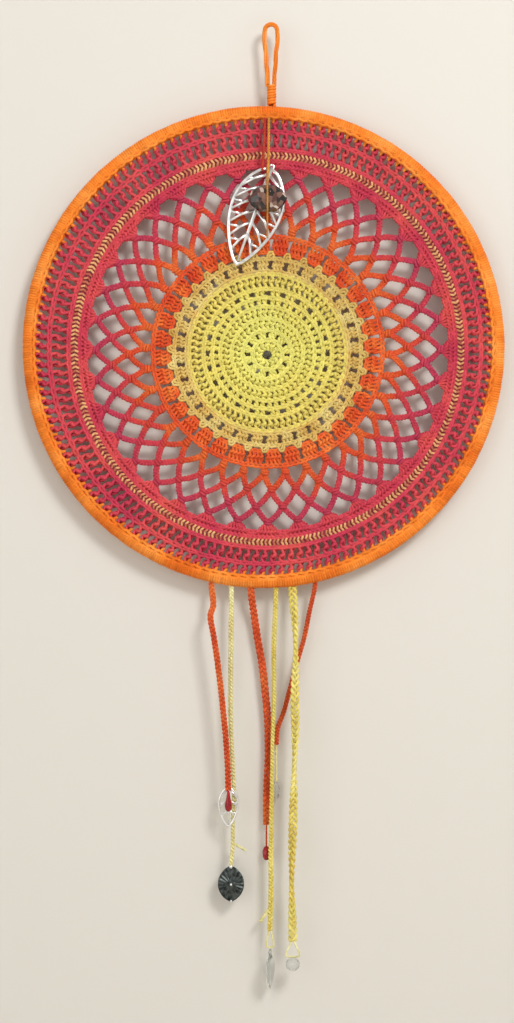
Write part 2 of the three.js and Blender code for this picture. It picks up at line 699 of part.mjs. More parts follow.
// Cream tape: a pewter medallion, and the yarn's cut end above it.
// The medallion's right edge from top to bottom, as shares of its half width and of its length.
const MEDALLION_EDGE = [
  [0, 0], [0.36, 0.07], [0.65, 0.17], [0.87, 0.29], [0.98, 0.41], [1, 0.51],
  [0.94, 0.65], [0.79, 0.77], [0.54, 0.88], [0.27, 0.95], [0, 1],
];
function medallion() {
  const right = MEDALLION_EDGE.map(
    ([wide, down]) => new THREE.Vector2((wide * MEDALLION_WIDTH) / 2, -down * MEDALLION_LENGTH),
  );
  const left = right.slice(1, -1).reverse().map((point) => new THREE.Vector2(-point.x, point.y));
  return plate([...right, ...left], [], MEDALLION_THICKNESS, 0);
}

const creamEnd = tapeEnd("cream");
add("cream_tail", yarnTail("cream", 1, CREAM_TAIL), PALE_YARN);
const medallionTop = below(creamEnd, CLEARANCE);
add("pewter_medallion", medallion().translate(medallionTop.x, medallionTop.y, medallionTop.z), PEWTER);

// Red tape: a ruby bead on a thread.
const redEnd = tapeEnd("red");
add("ruby_thread", thread(below(redEnd, CLEARANCE), RUBY_THREAD), CRIMSON_YARN);
const rubyTop = below(redEnd, RUBY_THREAD + 2 * CLEARANCE);
add("ruby_bead", bead(FACETED, RUBY_RADIUS, RUBY_LENGTH, rubyTop), RED_GLASS);

// Thin yellow tape: a clear leaf seen almost edge on, on a small thread loop.
const thinEnd = tapeEnd("thin_yellow");
const clearLoopTop = below(thinEnd, CLEARANCE + THREAD_RADIUS);
add("yellow_tail", yarnTail("thin_yellow", -1, YELLOW_TAIL), YELLOW_YARN);
add("clear_leaf_loop", threadLoop(clearLoopTop, CLEAR_LOOP_WIDTH, CLEAR_LOOP_DROP), PALE_YARN);
const clearLeafDrop = LOOP_SAG * CLEAR_LOOP_DROP + THREAD_RADIUS + CLEARANCE + EYELET_RADIUS;
const clearLeafTop = below(clearLoopTop, clearLeafDrop);
add(
  "clear_leaf",
  leaf(CLEAR_LEAF_LENGTH, CLEAR_LEAF_WIDTH, CLEAR_LEAF_THICKNESS, 0, 0)
    .rotateZ(radians(CLEAR_LEAF_TURN_DEGREES))
    .translate(clearLeafTop.x, clearLeafTop.y, clearLeafTop.z),
  CLEAR_GLASS,
);

// Wide yellow tape: a clear glass drop on a wider thread loop.
const wideEnd = tapeEnd("wide_yellow");
const glassLoopTop = below(wideEnd, CLEARANCE + THREAD_RADIUS);
add("glass_drop_loop", threadLoop(glassLoopTop, GLASS_LOOP_WIDTH, GLASS_LOOP_DROP), PALE_YARN);
const glassDropTop = below(glassLoopTop, LOOP_SAG * GLASS_LOOP_DROP + THREAD_RADIUS + CLEARANCE);
add("glass_drop", bead(FACETED, GLASS_DROP_RADIUS, GLASS_DROP_LENGTH, glassDropTop), CLEAR_GLASS);

// Crimson tape: a crystal bead on a thread.
const crimsonEnd = tapeEnd("crimson");
add("crystal_thread", thread(below(crimsonEnd, CLEARANCE), CRYSTAL_THREAD), PALE_YARN);
const crystalBeadTop = below(crimsonEnd, CRYSTAL_THREAD + 2 * CLEARANCE);
add("crystal_bead", bead(FACETED, CRYSTAL_BEAD_RADIUS, CRYSTAL_BEAD_LENGTH, crystalBeadTop), CLEAR_GLASS);

export default dreamCatcher;
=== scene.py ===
# %% [markdown]
# # Crochet dream catcher
# A yarn-covered hoop holds a round crochet panel. A leaf pendant hangs in front of the panel and six
# crocheted tapes with charms hang below it. The part's own solids carry the motion. Each piece made here
# stands for one of those solids and moves with its body, so the first step loads them and groups them
# by body.

# %% Setup
import json
import math

import bmesh
import bpy
import numpy as np
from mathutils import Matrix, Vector

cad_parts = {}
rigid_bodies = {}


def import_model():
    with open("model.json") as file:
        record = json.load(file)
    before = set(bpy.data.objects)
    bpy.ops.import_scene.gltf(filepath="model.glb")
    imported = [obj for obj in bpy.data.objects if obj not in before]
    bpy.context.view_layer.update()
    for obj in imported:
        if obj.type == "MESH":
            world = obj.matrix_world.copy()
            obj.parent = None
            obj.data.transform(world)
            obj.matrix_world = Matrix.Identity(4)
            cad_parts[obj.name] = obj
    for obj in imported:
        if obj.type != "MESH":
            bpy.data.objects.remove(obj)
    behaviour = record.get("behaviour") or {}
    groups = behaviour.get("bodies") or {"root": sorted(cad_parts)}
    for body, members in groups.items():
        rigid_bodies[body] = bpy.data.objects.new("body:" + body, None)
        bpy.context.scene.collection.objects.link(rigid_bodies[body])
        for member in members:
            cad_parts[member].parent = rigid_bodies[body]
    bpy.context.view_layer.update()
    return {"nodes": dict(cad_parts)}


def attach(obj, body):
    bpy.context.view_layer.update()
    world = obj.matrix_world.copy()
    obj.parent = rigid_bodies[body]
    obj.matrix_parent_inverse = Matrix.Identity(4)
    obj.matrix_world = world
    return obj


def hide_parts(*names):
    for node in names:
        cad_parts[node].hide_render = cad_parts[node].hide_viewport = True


for leftover in list(bpy.data.objects):
    bpy.data.objects.remove(leftover)
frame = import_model()
scene = bpy.context.scene
scene.view_settings.view_transform = "Standard"

# %% [markdown]
# ## Sizes shared with the part
# Millimetres, with X to the viewer's right, Y away from the viewer and Z up, from the point that the
# hanging loop rests on. Values carry the same names as in the part's source, so a size that changes there
# is easy to find here. A tape is its half width, its layer in depth, where it leaves the hoop, and its
# route as pairs of sideways place and drop.

# %% Sizes
MM = 0.001
HOOP_X = -4.8
HOOP_Z = -206.5
HOOP_TOP_Z = -55.5
HOOP_BOTTOM_Z = -362.1
HOOP_RADIUS = 151.0
COVER_RADIUS = 4.6
COVER_INNER = HOOP_RADIUS - COVER_RADIUS
COVER_OUTER = HOOP_RADIUS + COVER_RADIUS
GOLD_MIDDLE = 124.95
EYE_SHIFT = (2.4, -5.2)
GOLD_SHIFT = (2.8, -1.3)
CLEARANCE = 0.3
LAYERS = {"front": -6.2, "middle": 0.0, "back": 5.4}
LAYER_DROP = 24.0
TAPES = {
    "orange": (2.1, "front", -33.6, [
        (-32.3, 10.7), (-34.2, 17.2), (-32, 30.1), (-28.1, 59.1), (-24.9, 88.1), (-22.9, 117.1),
        (-22.6, 128.7)]),
    "cream": (1.75, "middle", -20.7, [
        (-21, 33.3), (-21.3, 72), (-21, 94.6), (-19.1, 133.3), (-19.7, 146.2), (-20, 168.7), (-21, 178.4)]),
    "red": (2.4, "back", -8.1, [
        (-6.2, 17.2), (-4.2, 30.1), (-1, 49.4), (1.6, 72), (2.9, 88.1), (2.9, 113.9), (2.2, 130),
        (1.9, 152.6)]),
    "thin_yellow": (1.7, "middle", 8, [
        (6.7, 39.7), (6.7, 72), (5.8, 97.8), (5.4, 130), (4.8, 168.7), (4.8, 201), (4.2, 220.3)]),
    "wide_yellow": (2.5, "front", 18.7, [
        (20.6, 33.3), (20, 72), (20.3, 91.3), (19.3, 128.5), (18.7, 152.6), (18, 188.1), (18.3, 204.2),
        (18.7, 225.5)]),
    "crimson": (1.6, "back", 33.2, [
        (30, 13.9), (26.1, 33.3), (22.9, 44.2), (17.1, 65.5), (12.5, 81.7), (9, 91.3), (8.3, 101)]),
}

# %% [markdown]
# ## Node expressions
# Materials and geometry trees are both built from nodes. Adding and linking Math nodes one by one is hard
# to read, so one small class wraps a socket and lets ordinary arithmetic add the nodes. The same class
# serves both kinds of tree.

# %% Node expressions


class Value:
    """A socket of a node tree that can be used in arithmetic."""

    def __init__(self, tree, socket):
        self.tree = tree
        self.socket = socket

    def math(self, operation, *others, clamp=False):
        made = self.tree.nodes.new("ShaderNodeMath")
        made.operation = operation
        made.use_clamp = clamp
        for socket, operand in zip(made.inputs, (self, *others)):
            plug(self.tree, socket, operand)
        return Value(self.tree, made.outputs[0])

    def __add__(self, other):
        return self.math("ADD", other)

    def __sub__(self, other):
        return self.math("SUBTRACT", other)

    def __rsub__(self, other):
        return (self * -1) + other

    def __mul__(self, other):
        return self.math("MULTIPLY", other)

    def __truediv__(self, other):
        return self.math("DIVIDE", other)

    __radd__ = __add__
    __rmul__ = __mul__

    def sin(self):
        return self.math("SINE")

    def cos(self):
        return self.math("COSINE")

    def between(self, low, high, to_low, to_high):
        """Maps low..high to to_low..to_high and holds the ends."""
        share = ((self - low) / (high - low)).math("ADD", 0.0, clamp=True)
        return share * (to_high - to_low) + to_low


def plug(tree, socket, operand):
    if isinstance(operand, Value):
        tree.links.new(operand.socket, socket)
    else:
        socket.default_value = operand


def socket_of(sockets, key):
    if isinstance(key, int):
        return sockets[key]
    return next(socket for socket in sockets if socket.name == key and socket.enabled)


def node(tree, kind, inputs=None, **settings):
    """Adds a node, sets it up and returns a function that gives its outputs as values."""
    made = tree.nodes.new(kind)
    for name, setting in settings.items():
        setattr(made, name, setting)
    for key, operand in (inputs or {}).items():
        plug(tree, socket_of(made.inputs, key), operand)
    return lambda key=0: Value(tree, socket_of(made.outputs, key))


def combined(tree, x, y, z):
    return node(tree, "ShaderNodeCombineXYZ", {"X": x, "Y": y, "Z": z})()


def vector_math(tree, operation, *operands, **named):
    return node(tree, "ShaderNodeVectorMath", {**dict(enumerate(operands)), **named}, operation=operation)()

# %% [markdown]
# ## Yarn finish
# Hand-dyed cotton drifts from one dye to the next, differs a little from stitch to stitch and shows its
# plies as fine ridges. A picture could carry this, but it would stretch over thousands of strands. Noise
# in object space gives the drift, and two values stored on each strand, the length along it and the place
# around it, give the ridges. Colours are written as they look on screen.

# %% Materials


def linear(hex_colour):
    channels = [int(hex_colour[i:i + 2], 16) / 255 for i in (0, 2, 4)]
    return (*[c / 12.92 if c <= 0.04045 else ((c + 0.055) / 1.055) ** 2.4 for c in channels], 1.0)


def new_material(name):
    material = bpy.data.materials.new(name)
    material.use_nodes = True
    tree = material.node_tree
    return material, tree, tree.nodes["Principled BSDF"]


def ramp(tree, factor, stops):
    made = tree.nodes.new("ShaderNodeValToRGB")
    elements = made.color_ramp.elements
    while len(elements) < len(stops):
        elements.new(0.5)
    for element, (place, colour) in zip(elements, stops):
        element.position = place
        element.color = linear(colour)
    plug(tree, made.inputs[0], factor)
    return Value(tree, made.outputs[0])


def attribute(tree, name):
    return node(tree, "ShaderNodeAttribute", attribute_name=name)("Fac")


PLY_LENGTH = 2.4 * MM
PLY_COUNT = 2
PLY_DEPTH = 0.25 * MM
FIBRE_SIZE = 0.7 * MM
DYE_CONTRAST = 2.2


def yarn(name, stops, patch=22.0, radial=None, drift=1.0, tipped=None):
    """Cotton yarn. stops is the dye ramp; radial is the two panel radii that span it, in millimetres.
    Tipped yarn takes its dye from how far the stitch stands out in front, between two heights."""
    material, tree, shader = new_material(name)
    place = node(tree, "ShaderNodeTexCoord")("Object")
    blot = node(tree, "ShaderNodeTexNoise", {"Vector": place, "Scale": 1 / (patch * MM), "Detail": 2.0})()
    factor = (blot - 0.5) * (DYE_CONTRAST * drift) + 0.5
    if radial:
        axes = node(tree, "ShaderNodeSeparateXYZ", {0: place})
        across = axes("X") - (HOOP_X + GOLD_SHIFT[0]) * MM
        up = axes("Z") - (HOOP_Z + GOLD_SHIFT[1]) * MM
        radius = (across * across + up * up).math("SQRT")
        factor = radius.between(radial[0] * MM, radial[1] * MM, 0.0, 1.0) + (blot - 0.5) * drift
    if tipped:
        front = node(tree, "ShaderNodeSeparateXYZ", {0: place})("Y") * -1
        height = front.between(tipped[0] * MM, tipped[1] * MM, 0.0, 1.0)
        factor = height * (attribute(tree, "stitch") * 0.8 + 0.35)
    dye = ramp(tree, factor, stops)
    fibre = node(tree, "ShaderNodeTexNoise", {"Vector": place, "Scale": 1 / FIBRE_SIZE, "Detail": 1.0})()
    light = attribute(tree, "stitch") * 0.22 + fibre * 0.34 + 0.74
    colour = vector_math(tree, "SCALE", dye, Scale=light)
    ply = (attribute(tree, "along") / PLY_LENGTH + attribute(tree, "around") * PLY_COUNT) * (2 * math.pi)
    ridge = ply.sin() * 0.5 + fibre
    bump = node(tree, "ShaderNodeBump", {"Strength": 0.7, "Distance": PLY_DEPTH, "Height": ridge})()
    plug(tree, shader.inputs["Base Color"], colour)
    plug(tree, shader.inputs["Normal"], bump)
    shader.inputs["Roughness"].default_value = 0.85
    shader.inputs["Specular IOR Level"].default_value = 0.2
    return material

# %% [markdown]
# ## Metal and glass
# The leaves are bright plated metal, the medallion is dark pewter and the drops are glass. Real metal is
# never quite even, so fine noise moves both its tone and its gloss. Glass takes its depth from
# transmission, and a faint cloud keeps it from looking like plastic.

# %% Metal and glass
def metal(name, colour, roughness, wear):
    material, tree, shader = new_material(name)
    place = node(tree, "ShaderNodeTexCoord")("Object")
    grain = node(tree, "ShaderNodeTexNoise", {"Vector": place, "Scale": 1 / (3 * MM), "Detail": 3.0})()
    plug(tree, shader.inputs["Base Color"], ramp(tree, grain, [(0.3, wear), (0.6, colour)]))
    plug(tree, shader.inputs["Roughness"], grain * 0.2 + roughness)
    shader.inputs["Metallic"].default_value = 1.0
    return material


def glass(name, colour, clear, roughness=0.04):
    material, tree, shader = new_material(name)
    place = node(tree, "ShaderNodeTexCoord")("Object")
    cloud = node(tree, "ShaderNodeTexNoise", {"Vector": place, "Scale": 1 / (6 * MM)})()
    plug(tree, shader.inputs["Base Color"], ramp(tree, cloud, [(0.35, colour[0]), (0.65, colour[1])]))
    shader.inputs["Roughness"].default_value = roughness
    shader.inputs["Transmission Weight"].default_value = clear
    shader.inputs["IOR"].default_value = 1.5
    return material

# %% [markdown]
# ## Colours of this piece
# Each dye lot is a short ramp from its darkest to its lightest tone. The yellow centre and the net change
# with distance from the eye of the panel, so they read the radius. The gold and rose round takes gold on
# its raised stitch tops and rose in between.

# %% Colours of this piece
ORANGE = yarn("orange_yarn", [(0.0, "de6c1e"), (0.5, "ee862e"), (1.0, "f49c48")])
YELLOW = yarn("yellow_yarn", [(0.0, "dcc468"), (0.5, "ded06a"), (1.0, "e0da76")],
              radial=(60.0, 10.0), drift=0.9)
PALE = yarn("pale_yarn", [(0.0, "c89c4e"), (0.5, "d2b266"), (1.0, "dcc882")], patch=14.0)
FLAME = yarn("flame_yarn", [(0.0, "cc4226"), (0.5, "dc5c2c"), (1.0, "e8823c")], patch=14.0)
SUNSET = yarn("sunset_yarn", [(0.0, "de6a34"), (0.3, "d4502e"), (0.62, "c8424a"), (1.0, "b83c56")],
              patch=16.0, radial=(74.0, 112.0), drift=1.2)
CRIMSON = yarn("crimson_yarn", [(0.0, "ba3450"), (0.5, "cc4652"), (1.0, "d65650")], patch=26.0)
ROSE = yarn("gold_rose_yarn", [(0.1, "a2404a"), (0.4, "bc6a50"), (0.75, "d8a470")], tipped=(0.9, 1.8))
TAPE_YELLOW = yarn("tape_yellow_yarn", [(0.0, "d8ba54"), (0.5, "e2d270"), (1.0, "ece08e")])
TAPE_CREAM = yarn("tape_cream_yarn", [(0.0, "dcca84"), (0.5, "e8e0a0"), (1.0, "f0ecba")])
TAPE_RED = yarn("tape_red_yarn", [(0.0, "c24626"), (0.5, "d65c30"), (1.0, "e2783c")])
STRAND_CRIMSON = yarn("strand_crimson_yarn", [(0.0, "9c2a24"), (0.5, "b43a2a"), (1.0, "c44c32")])
STRAND_GOLD = yarn("strand_gold_yarn", [(0.0, "b8782c"), (0.5, "cc8c3a"), (1.0, "d89c4a")])
SILVER = metal("silver", "fbfbfa", 0.22, "dcdcda")
STEEL = metal("steel", "b8b8ba", 0.3, "8c8c8e")
PEWTER = metal("pewter", "5a605e", 0.3, "1c2022")

# %% [markdown]
# ## Cut glass
# A faceted stone shows the room broken up in its back faces. Full transmission would need many bounces
# and would be lost in an exported model, so those inner reflections are painted: cells of different tone,
# from dark glass to a bright painted glint, under a clear coat.

# %% Cut glass
def cut_glass(name, stops, cell, clear):
    """Faceted glass whose inner reflections and glints are painted as cells of different tone."""
    material, tree, shader = new_material(name)
    place = node(tree, "ShaderNodeTexCoord")("Object")
    cells = node(tree, "ShaderNodeTexVoronoi", {"Vector": place, "Scale": 1 / (cell * MM)})("Color")
    tone = node(tree, "ShaderNodeSeparateXYZ", {0: cells})("X")
    plug(tree, shader.inputs["Base Color"], ramp(tree, tone, stops))
    shader.inputs["Roughness"].default_value = 0.05
    shader.inputs["Transmission Weight"].default_value = clear
    shader.inputs["Coat Weight"].default_value = 0.6
    return material


RED_GLASS = glass("red_glass", ("a80c1c", "c81a28"), 0.5)
CLEAR_GLASS = glass("clear_glass", ("d4d8d4", "f2f2ee"), 0.85)
# The smoky glass's own dark tones, then lighter painted reflections and a bright painted glint, one tone for
# each cell.
SMOKY_GLASS_AND_REFLECTIONS = [(0.2, "140a06"), (0.5, "3a2016"), (0.72, "643a30"), (0.88, "8c6454"), (0.97, "e4d0c0")]
SMOKY = cut_glass("smoky_glass", SMOKY_GLASS_AND_REFLECTIONS, 3.2, 0.25)

# %% [markdown]
# ## Yarn built by geometry nodes
# A stitch is a set of strands drawn on a flat strip: x counts repeats, y is the panel radius and z the
# height towards the viewer. Modelling every stitch by hand would take thousands of curves. Instead one
# strip is copied side by side, shaken a little by noise so that no two stitches match, bent into place
# and spun into round yarn.

# %% Geometry nodes


def new_tree(name, inputs):
    tree = bpy.data.node_groups.new(name, "GeometryNodeTree")
    tree.is_modifier = True
    tree.interface.new_socket(name="Geometry", in_out="OUTPUT", socket_type="NodeSocketGeometry")
    for label, kind in inputs.items():
        tree.interface.new_socket(name=label, in_out="INPUT", socket_type="NodeSocket" + kind)
    source = tree.nodes.new("NodeGroupInput")
    return tree, lambda key: Value(tree, socket_of(source.outputs, key))


WOBBLE_OUT = 0.11
WOBBLE_UP = 0.2


def repeated_strip(tree, given):
    """Copies of the strip side by side, their strip coordinates, and a noise shake for each point."""
    strip = node(tree, "GeometryNodeObjectInfo", {"Object": given("Strip")})("Geometry")
    places = node(tree, "GeometryNodeMeshLine", {"Count": given("Count"), "Offset": (1.0, 0.0, 0.0)})()
    copies = node(tree, "GeometryNodeInstanceOnPoints", {"Points": places, "Instance": strip})()
    laid = node(tree, "GeometryNodeRealizeInstances", {"Geometry": copies})()
    position = node(tree, "GeometryNodeInputPosition")()
    axes = node(tree, "ShaderNodeSeparateXYZ", {0: position})
    beat = axes("X") * given("Rhythm") + given("Seed")
    wobble_place = combined(tree, beat, axes("Y") * WOBBLE_OUT, axes("Z") * WOBBLE_UP)
    wobble = node(tree, "ShaderNodeTexNoise", {"Vector": wobble_place, "Scale": 1.0, "Detail": 1.0})("Color")
    shake = node(tree, "ShaderNodeSeparateXYZ", {0: vector_math(tree, "SUBTRACT", wobble, (0.5, 0.5, 0.5))})
    moved = [shake(axis) * given("Jitter") * 2.0 for axis in "XYZ"]
    return laid, [axes(axis) for axis in "XYZ"], moved


def spun(tree, given, curves, position):
    """Places the strands, spins them into round yarn and gives the tree its output."""
    placed = node(tree, "GeometryNodeSetPosition", {"Geometry": curves, "Position": position})()
    index = node(tree, "GeometryNodeInputIndex")()
    shade = node(tree, "ShaderNodeTexWhiteNoise", {"W": index}, noise_dimensions="1D")()
    shaded = node(tree, "GeometryNodeStoreNamedAttribute",
                  {"Geometry": placed, "Name": "stitch", "Value": shade}, data_type="FLOAT", domain="CURVE")()
    along = node(tree, "GeometryNodeSplineParameter")("Length")
    marked = node(tree, "GeometryNodeStoreNamedAttribute",
                  {"Geometry": shaded, "Name": "along", "Value": along}, data_type="FLOAT", domain="POINT")()
    ring = node(tree, "GeometryNodeCurvePrimitiveCircle",
                {"Resolution": given("Sides"), "Radius": given("Yarn") * MM})()
    around = node(tree, "GeometryNodeSplineParameter")("Factor")
    section = node(tree, "GeometryNodeStoreNamedAttribute",
                   {"Geometry": ring, "Name": "around", "Value": around}, data_type="FLOAT", domain="POINT")()
    tubes = node(tree, "GeometryNodeCurveToMesh",
                 {"Curve": marked, "Profile Curve": section, "Fill Caps": True})()
    smooth = node(tree, "GeometryNodeSetShadeSmooth", {"Geometry": tubes})()
    done = node(tree, "GeometryNodeSetMaterial", {"Geometry": smooth, "Material": given("Material")})()
    target = tree.nodes.new("NodeGroupOutput")
    plug(tree, target.inputs[0], done)

# %% [markdown]
# ## Two ways to bend the strip
# The panel's rounds close on themselves, and the tapes and strands follow a path. Both trees share the
# copying and the spinning and differ only in where they put a point. The eye of the real panel sits a
# little off the hoop's centre, and the round tree follows that.

# %% Round tree and path tree
COMMON = {
    "Strip": "Object", "Count": "Int", "Yarn": "Float", "Sides": "Int", "Jitter": "Float", "Rhythm": "Float",
    "Seed": "Float", "Material": "Material",
}


def round_tree():
    """Repeats the strip round the panel, whose eye and gold round sit a little off the hoop's centre."""
    tree, given = new_tree("stitches round the panel", {**COMMON, "Turn": "Float"})
    laid, (x, y, z), (dx, dy, dz) = repeated_strip(tree, given)
    radius = y + dy
    sideways = dx / (radius.math("MAXIMUM", 1.0) * (2 * math.pi))
    angle = (x / given("Count") + given("Turn") + sideways) * (2 * math.pi)
    fade = radius.between(GOLD_MIDDLE, COVER_INNER, 1.0, 0.0)
    shift_x = radius.between(0.0, GOLD_MIDDLE, EYE_SHIFT[0], GOLD_SHIFT[0]) * fade
    shift_z = radius.between(0.0, GOLD_MIDDLE, EYE_SHIFT[1], GOLD_SHIFT[1]) * fade
    position = combined(tree, shift_x + HOOP_X + radius * angle.sin(), (z + dz) * -1,
                        shift_z + HOOP_Z + radius * angle.cos())
    spun(tree, given, laid, vector_math(tree, "SCALE", position, Scale=MM))
    return tree


def path_tree():
    """Repeats the strip along a path. y lies across it and z stands towards the viewer."""
    tree, given = new_tree("stitches along a path", {**COMMON, "Path": "Object", "Twist": "Float"})
    laid, (x, y, z), (dx, dy, dz) = repeated_strip(tree, given)
    share = x / given("Count")
    path = node(tree, "GeometryNodeObjectInfo", {"Object": given("Path")})("Geometry")
    sample = node(tree, "GeometryNodeSampleCurve", {"Curves": path, "Factor": share}, mode="FACTOR")
    tangent = sample("Tangent")
    side = vector_math(tree, "NORMALIZE", vector_math(tree, "CROSS_PRODUCT", tangent, (0.0, 1.0, 0.0)))
    front = vector_math(tree, "CROSS_PRODUCT", tangent, side)
    turn = share * given("Twist") * (2 * math.pi)
    across = (y + dy) * MM
    height = (z + dz) * MM
    sideways = across * turn.cos() - height * turn.sin()
    forwards = across * turn.sin() + height * turn.cos()
    out = vector_math(tree, "ADD", vector_math(tree, "SCALE", side, Scale=sideways),
                      vector_math(tree, "SCALE", front, Scale=forwards))
    spun(tree, given, laid, vector_math(tree, "ADD", sample("Position"), out))
    return tree


ROUND_TREE = round_tree()
PATH_TREE = path_tree()
DEFAULTS = {"Count": 1, "Yarn": 0.8, "Sides": 6, "Jitter": 0.25, "Rhythm": 0.9, "Seed": 0.0, "Turn": 0.0,
            "Twist": 0.0}

# %% [markdown]
# ## From tree to mesh
# A modifier would leave the piece unfinished until render time. Here the tree is run once, its result is
# kept as a plain mesh and the modifier is removed, so that the piece can be measured, moved with its body
# and exported.

# %% Growing a piece
def strands_object(name, strands, scale=1.0):
    """A curve object, kept out of the scene, with one straight-stepped spline for each strand."""
    curve = bpy.data.curves.new(name, "CURVE")
    curve.dimensions = "3D"
    for points in strands:
        spline = curve.splines.new("POLY")
        spline.points.add(len(points) - 1)
        flat = [component for x, y, z in points for component in (x * scale, y * scale, z * scale, 1.0)]
        spline.points.foreach_set("co", flat)
    return bpy.data.objects.new(name, curve)


def grown(name, tree, strands, path=None, **values):
    """A mesh piece grown by one of the two trees."""
    host = bpy.data.objects.new(name, bpy.data.meshes.new(name))
    scene.collection.objects.link(host)
    modifier = host.modifiers.new("yarn", "NODES")
    modifier.node_group = tree
    values = {**DEFAULTS, **values, "Strip": strands_object(name + "_strip", strands)}
    if path is not None:
        values["Path"] = strands_object(name + "_path", [path], MM)
    for item in tree.interface.items_tree:
        if item.in_out == "INPUT" and item.name in values:
            modifier[item.identifier] = values[item.name]
    host.update_tag()
    graph = bpy.context.evaluated_depsgraph_get()
    mesh = bpy.data.meshes.new_from_object(host.evaluated_get(graph), depsgraph=graph)
    host.modifiers.clear()
    host.data = mesh
    mesh.name = name
    print(f"{name}: {len(mesh.polygons)} faces")
    return host


def stands_for(piece, body, slot, *nodes):
    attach(piece, body)
    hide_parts(*nodes)
    return piece

# %% [markdown]
# ## Stitches
# Crochet has few elements. A post is two strands that twist about each other, a chain is a row of open
# links, a net strand is a tight braid and a knot is a short coil. Each helper draws one of them on the
# strip, so the rounds below read like a written pattern.

# %% Stitches


def across(count, radius, millimetres):
    """Millimetres along a round as a share of one repeat."""
    return millimetres * count / (2 * math.pi * radius)


def post(count, foot, head, turns=0.8, spread=0.75, lift=0.0, samples=8):
    """Two strands twisting about the line from foot to head, each a (share of a repeat, radius)."""
    strands = []
    for start in (0.0, math.pi):
        points = []
        for step in range(samples + 1):
            t = step / samples
            radius = foot[1] + (head[1] - foot[1]) * t
            angle = start + 2 * math.pi * turns * t
            share = foot[0] + (head[0] - foot[0]) * t + across(count, radius, spread * math.cos(angle))
            points.append((share, radius, lift + spread * math.sin(angle)))
        strands.append(points)
    return strands


def wrap_bar(count, share, radius, half=1.1, height=1.25):
    """The yarn that crosses the front of a post."""
    reach = across(count, radius, half)
    return [[(share - reach, radius - 0.7, 0.4), (share - reach / 2, radius - 0.4, height),
             (share + reach / 2, radius + 0.4, height), (share + reach, radius + 0.7, 0.4)]]


def links(number, radius, rise=0.75, height=0.7, start=-0.5, end=0.5):
    """A row of chain links across one repeat."""
    strands = []
    width = (end - start) / number
    for link in range(number):
        middle = start + (link + 0.5) * width
        for way in (-1, 1):
            strands.append([
                (middle - 0.6 * width, radius + 0.1 * way, height - 0.7),
                (middle - 0.2 * width, radius + way * rise * 0.7, height),
                (middle + 0.25 * width, radius + way * rise * 1.25, height + 0.2),
                (middle + 0.6 * width, radius + way * rise * 0.5, height - 0.5),
            ])
    return strands


def braid(count, foot, head, amplitude=1.35, height=0.7, length=5.6, bow=0.0):
    """Three strands plaited along the line from foot to head."""
    mean = (foot[1] + head[1]) / 2
    wide = (head[0] - foot[0]) / across(count, mean, 1.0)
    tall = head[1] - foot[1]
    size = math.hypot(wide, tall)
    normal = (tall / size, -wide / size)
    samples = max(6, round(size / 1.05))
    strands = []
    for strand in range(3):
        points = []
        for step in range(samples + 1):
            t = step / samples
            phase = 2 * math.pi * (size * t / length + strand / 3)
            off = amplitude * math.sin(phase) + bow * math.sin(math.pi * t)
            radius = foot[1] + tall * t + normal[1] * off
            share = foot[0] + (head[0] - foot[0]) * t + across(count, radius, normal[0] * off)
            points.append((share, radius, height * math.sin(2 * phase)))
        strands.append(points)
    return strands


def coil(count, share, radius, size, turns=2, samples=9):
    """Yarn wound round a knot of the net."""
    points = []
    for step in range(turns * samples + 1):
        angle = 2 * math.pi * step / samples
        rise = radius + (step / (turns * samples) - 0.5) * size
        sideways = across(count, radius, size * 0.62 * math.cos(angle))
        points.append((share + sideways, rise, size * 0.5 * math.sin(angle)))
    return [points]

# %% [markdown]
# ## Yellow centre
# The panel starts from a small eye with a ring of openings and grows outwards in rounds of posts topped
# by chains. Twelve repeats carry all the rounds. Posts are set in groups where the real piece leaves
# openings, and the noise is quick here so that the rounds look worked by hand.

# %% Yellow centre
YELLOW_REPEATS = 12


def posts_round(count, number, inner, outer, lean=0.0, start=-0.5, end=0.5, bars=True, spread=0.75):
    """Evenly spaced posts across one repeat, with a wrap across the front of each tall post when bars is set.
    """
    strands = []
    width = (end - start) / number
    for index in range(number):
        share = start + (index + 0.5) * width
        strands += post(count, (share, inner), (share + lean * width, outer), spread=spread)
        if bars and outer - inner > 4:
            middle = inner + 0.52 * (outer - inner)
            strands += wrap_bar(count, share + lean * width * 0.5, middle, height=spread + 0.6)
    return strands


yellow = []
yellow += posts_round(YELLOW_REPEATS, 1, 3.4, 9.0)
yellow += links(1, 9.5)
yellow += posts_round(YELLOW_REPEATS, 2, 9.8, 15.2, start=0.2, end=0.8, bars=False)
yellow += links(2, 15.8)
yellow += posts_round(YELLOW_REPEATS, 3, 16.0, 22.4, lean=0.2, spread=0.95)
yellow += links(3, 23.0)
yellow += posts_round(YELLOW_REPEATS, 4, 23.4, 29.8, lean=0.2, spread=0.95)
yellow += links(4, 30.4)
yellow += posts_round(YELLOW_REPEATS, 2, 30.8, 35.2, start=-0.42, end=0.02, bars=False)
yellow += posts_round(YELLOW_REPEATS, 2, 30.8, 35.2, start=0.08, end=0.52, bars=False)
yellow += links(4, 35.8)
yellow += posts_round(YELLOW_REPEATS, 2, 36.0, 40.8, start=-0.42, end=-0.08, bars=False)
yellow += posts_round(YELLOW_REPEATS, 2, 36.0, 40.8, start=0.08, end=0.42, bars=False)
yellow += links(6, 41.4)
yellow += posts_round(YELLOW_REPEATS, 6, 41.8, 49.8, lean=0.2, spread=1.15)
yellow += links(6, 50.6)
yellow_centre = grown("yellow_centre_stitches", ROUND_TREE, yellow, Count=YELLOW_REPEATS, Material=YELLOW,
                      Yarn=1.0, Jitter=0.75, Rhythm=3.5, Seed=3.0)
stands_for(yellow_centre, "hoop", "yellow_yarn", "yellow_centre")

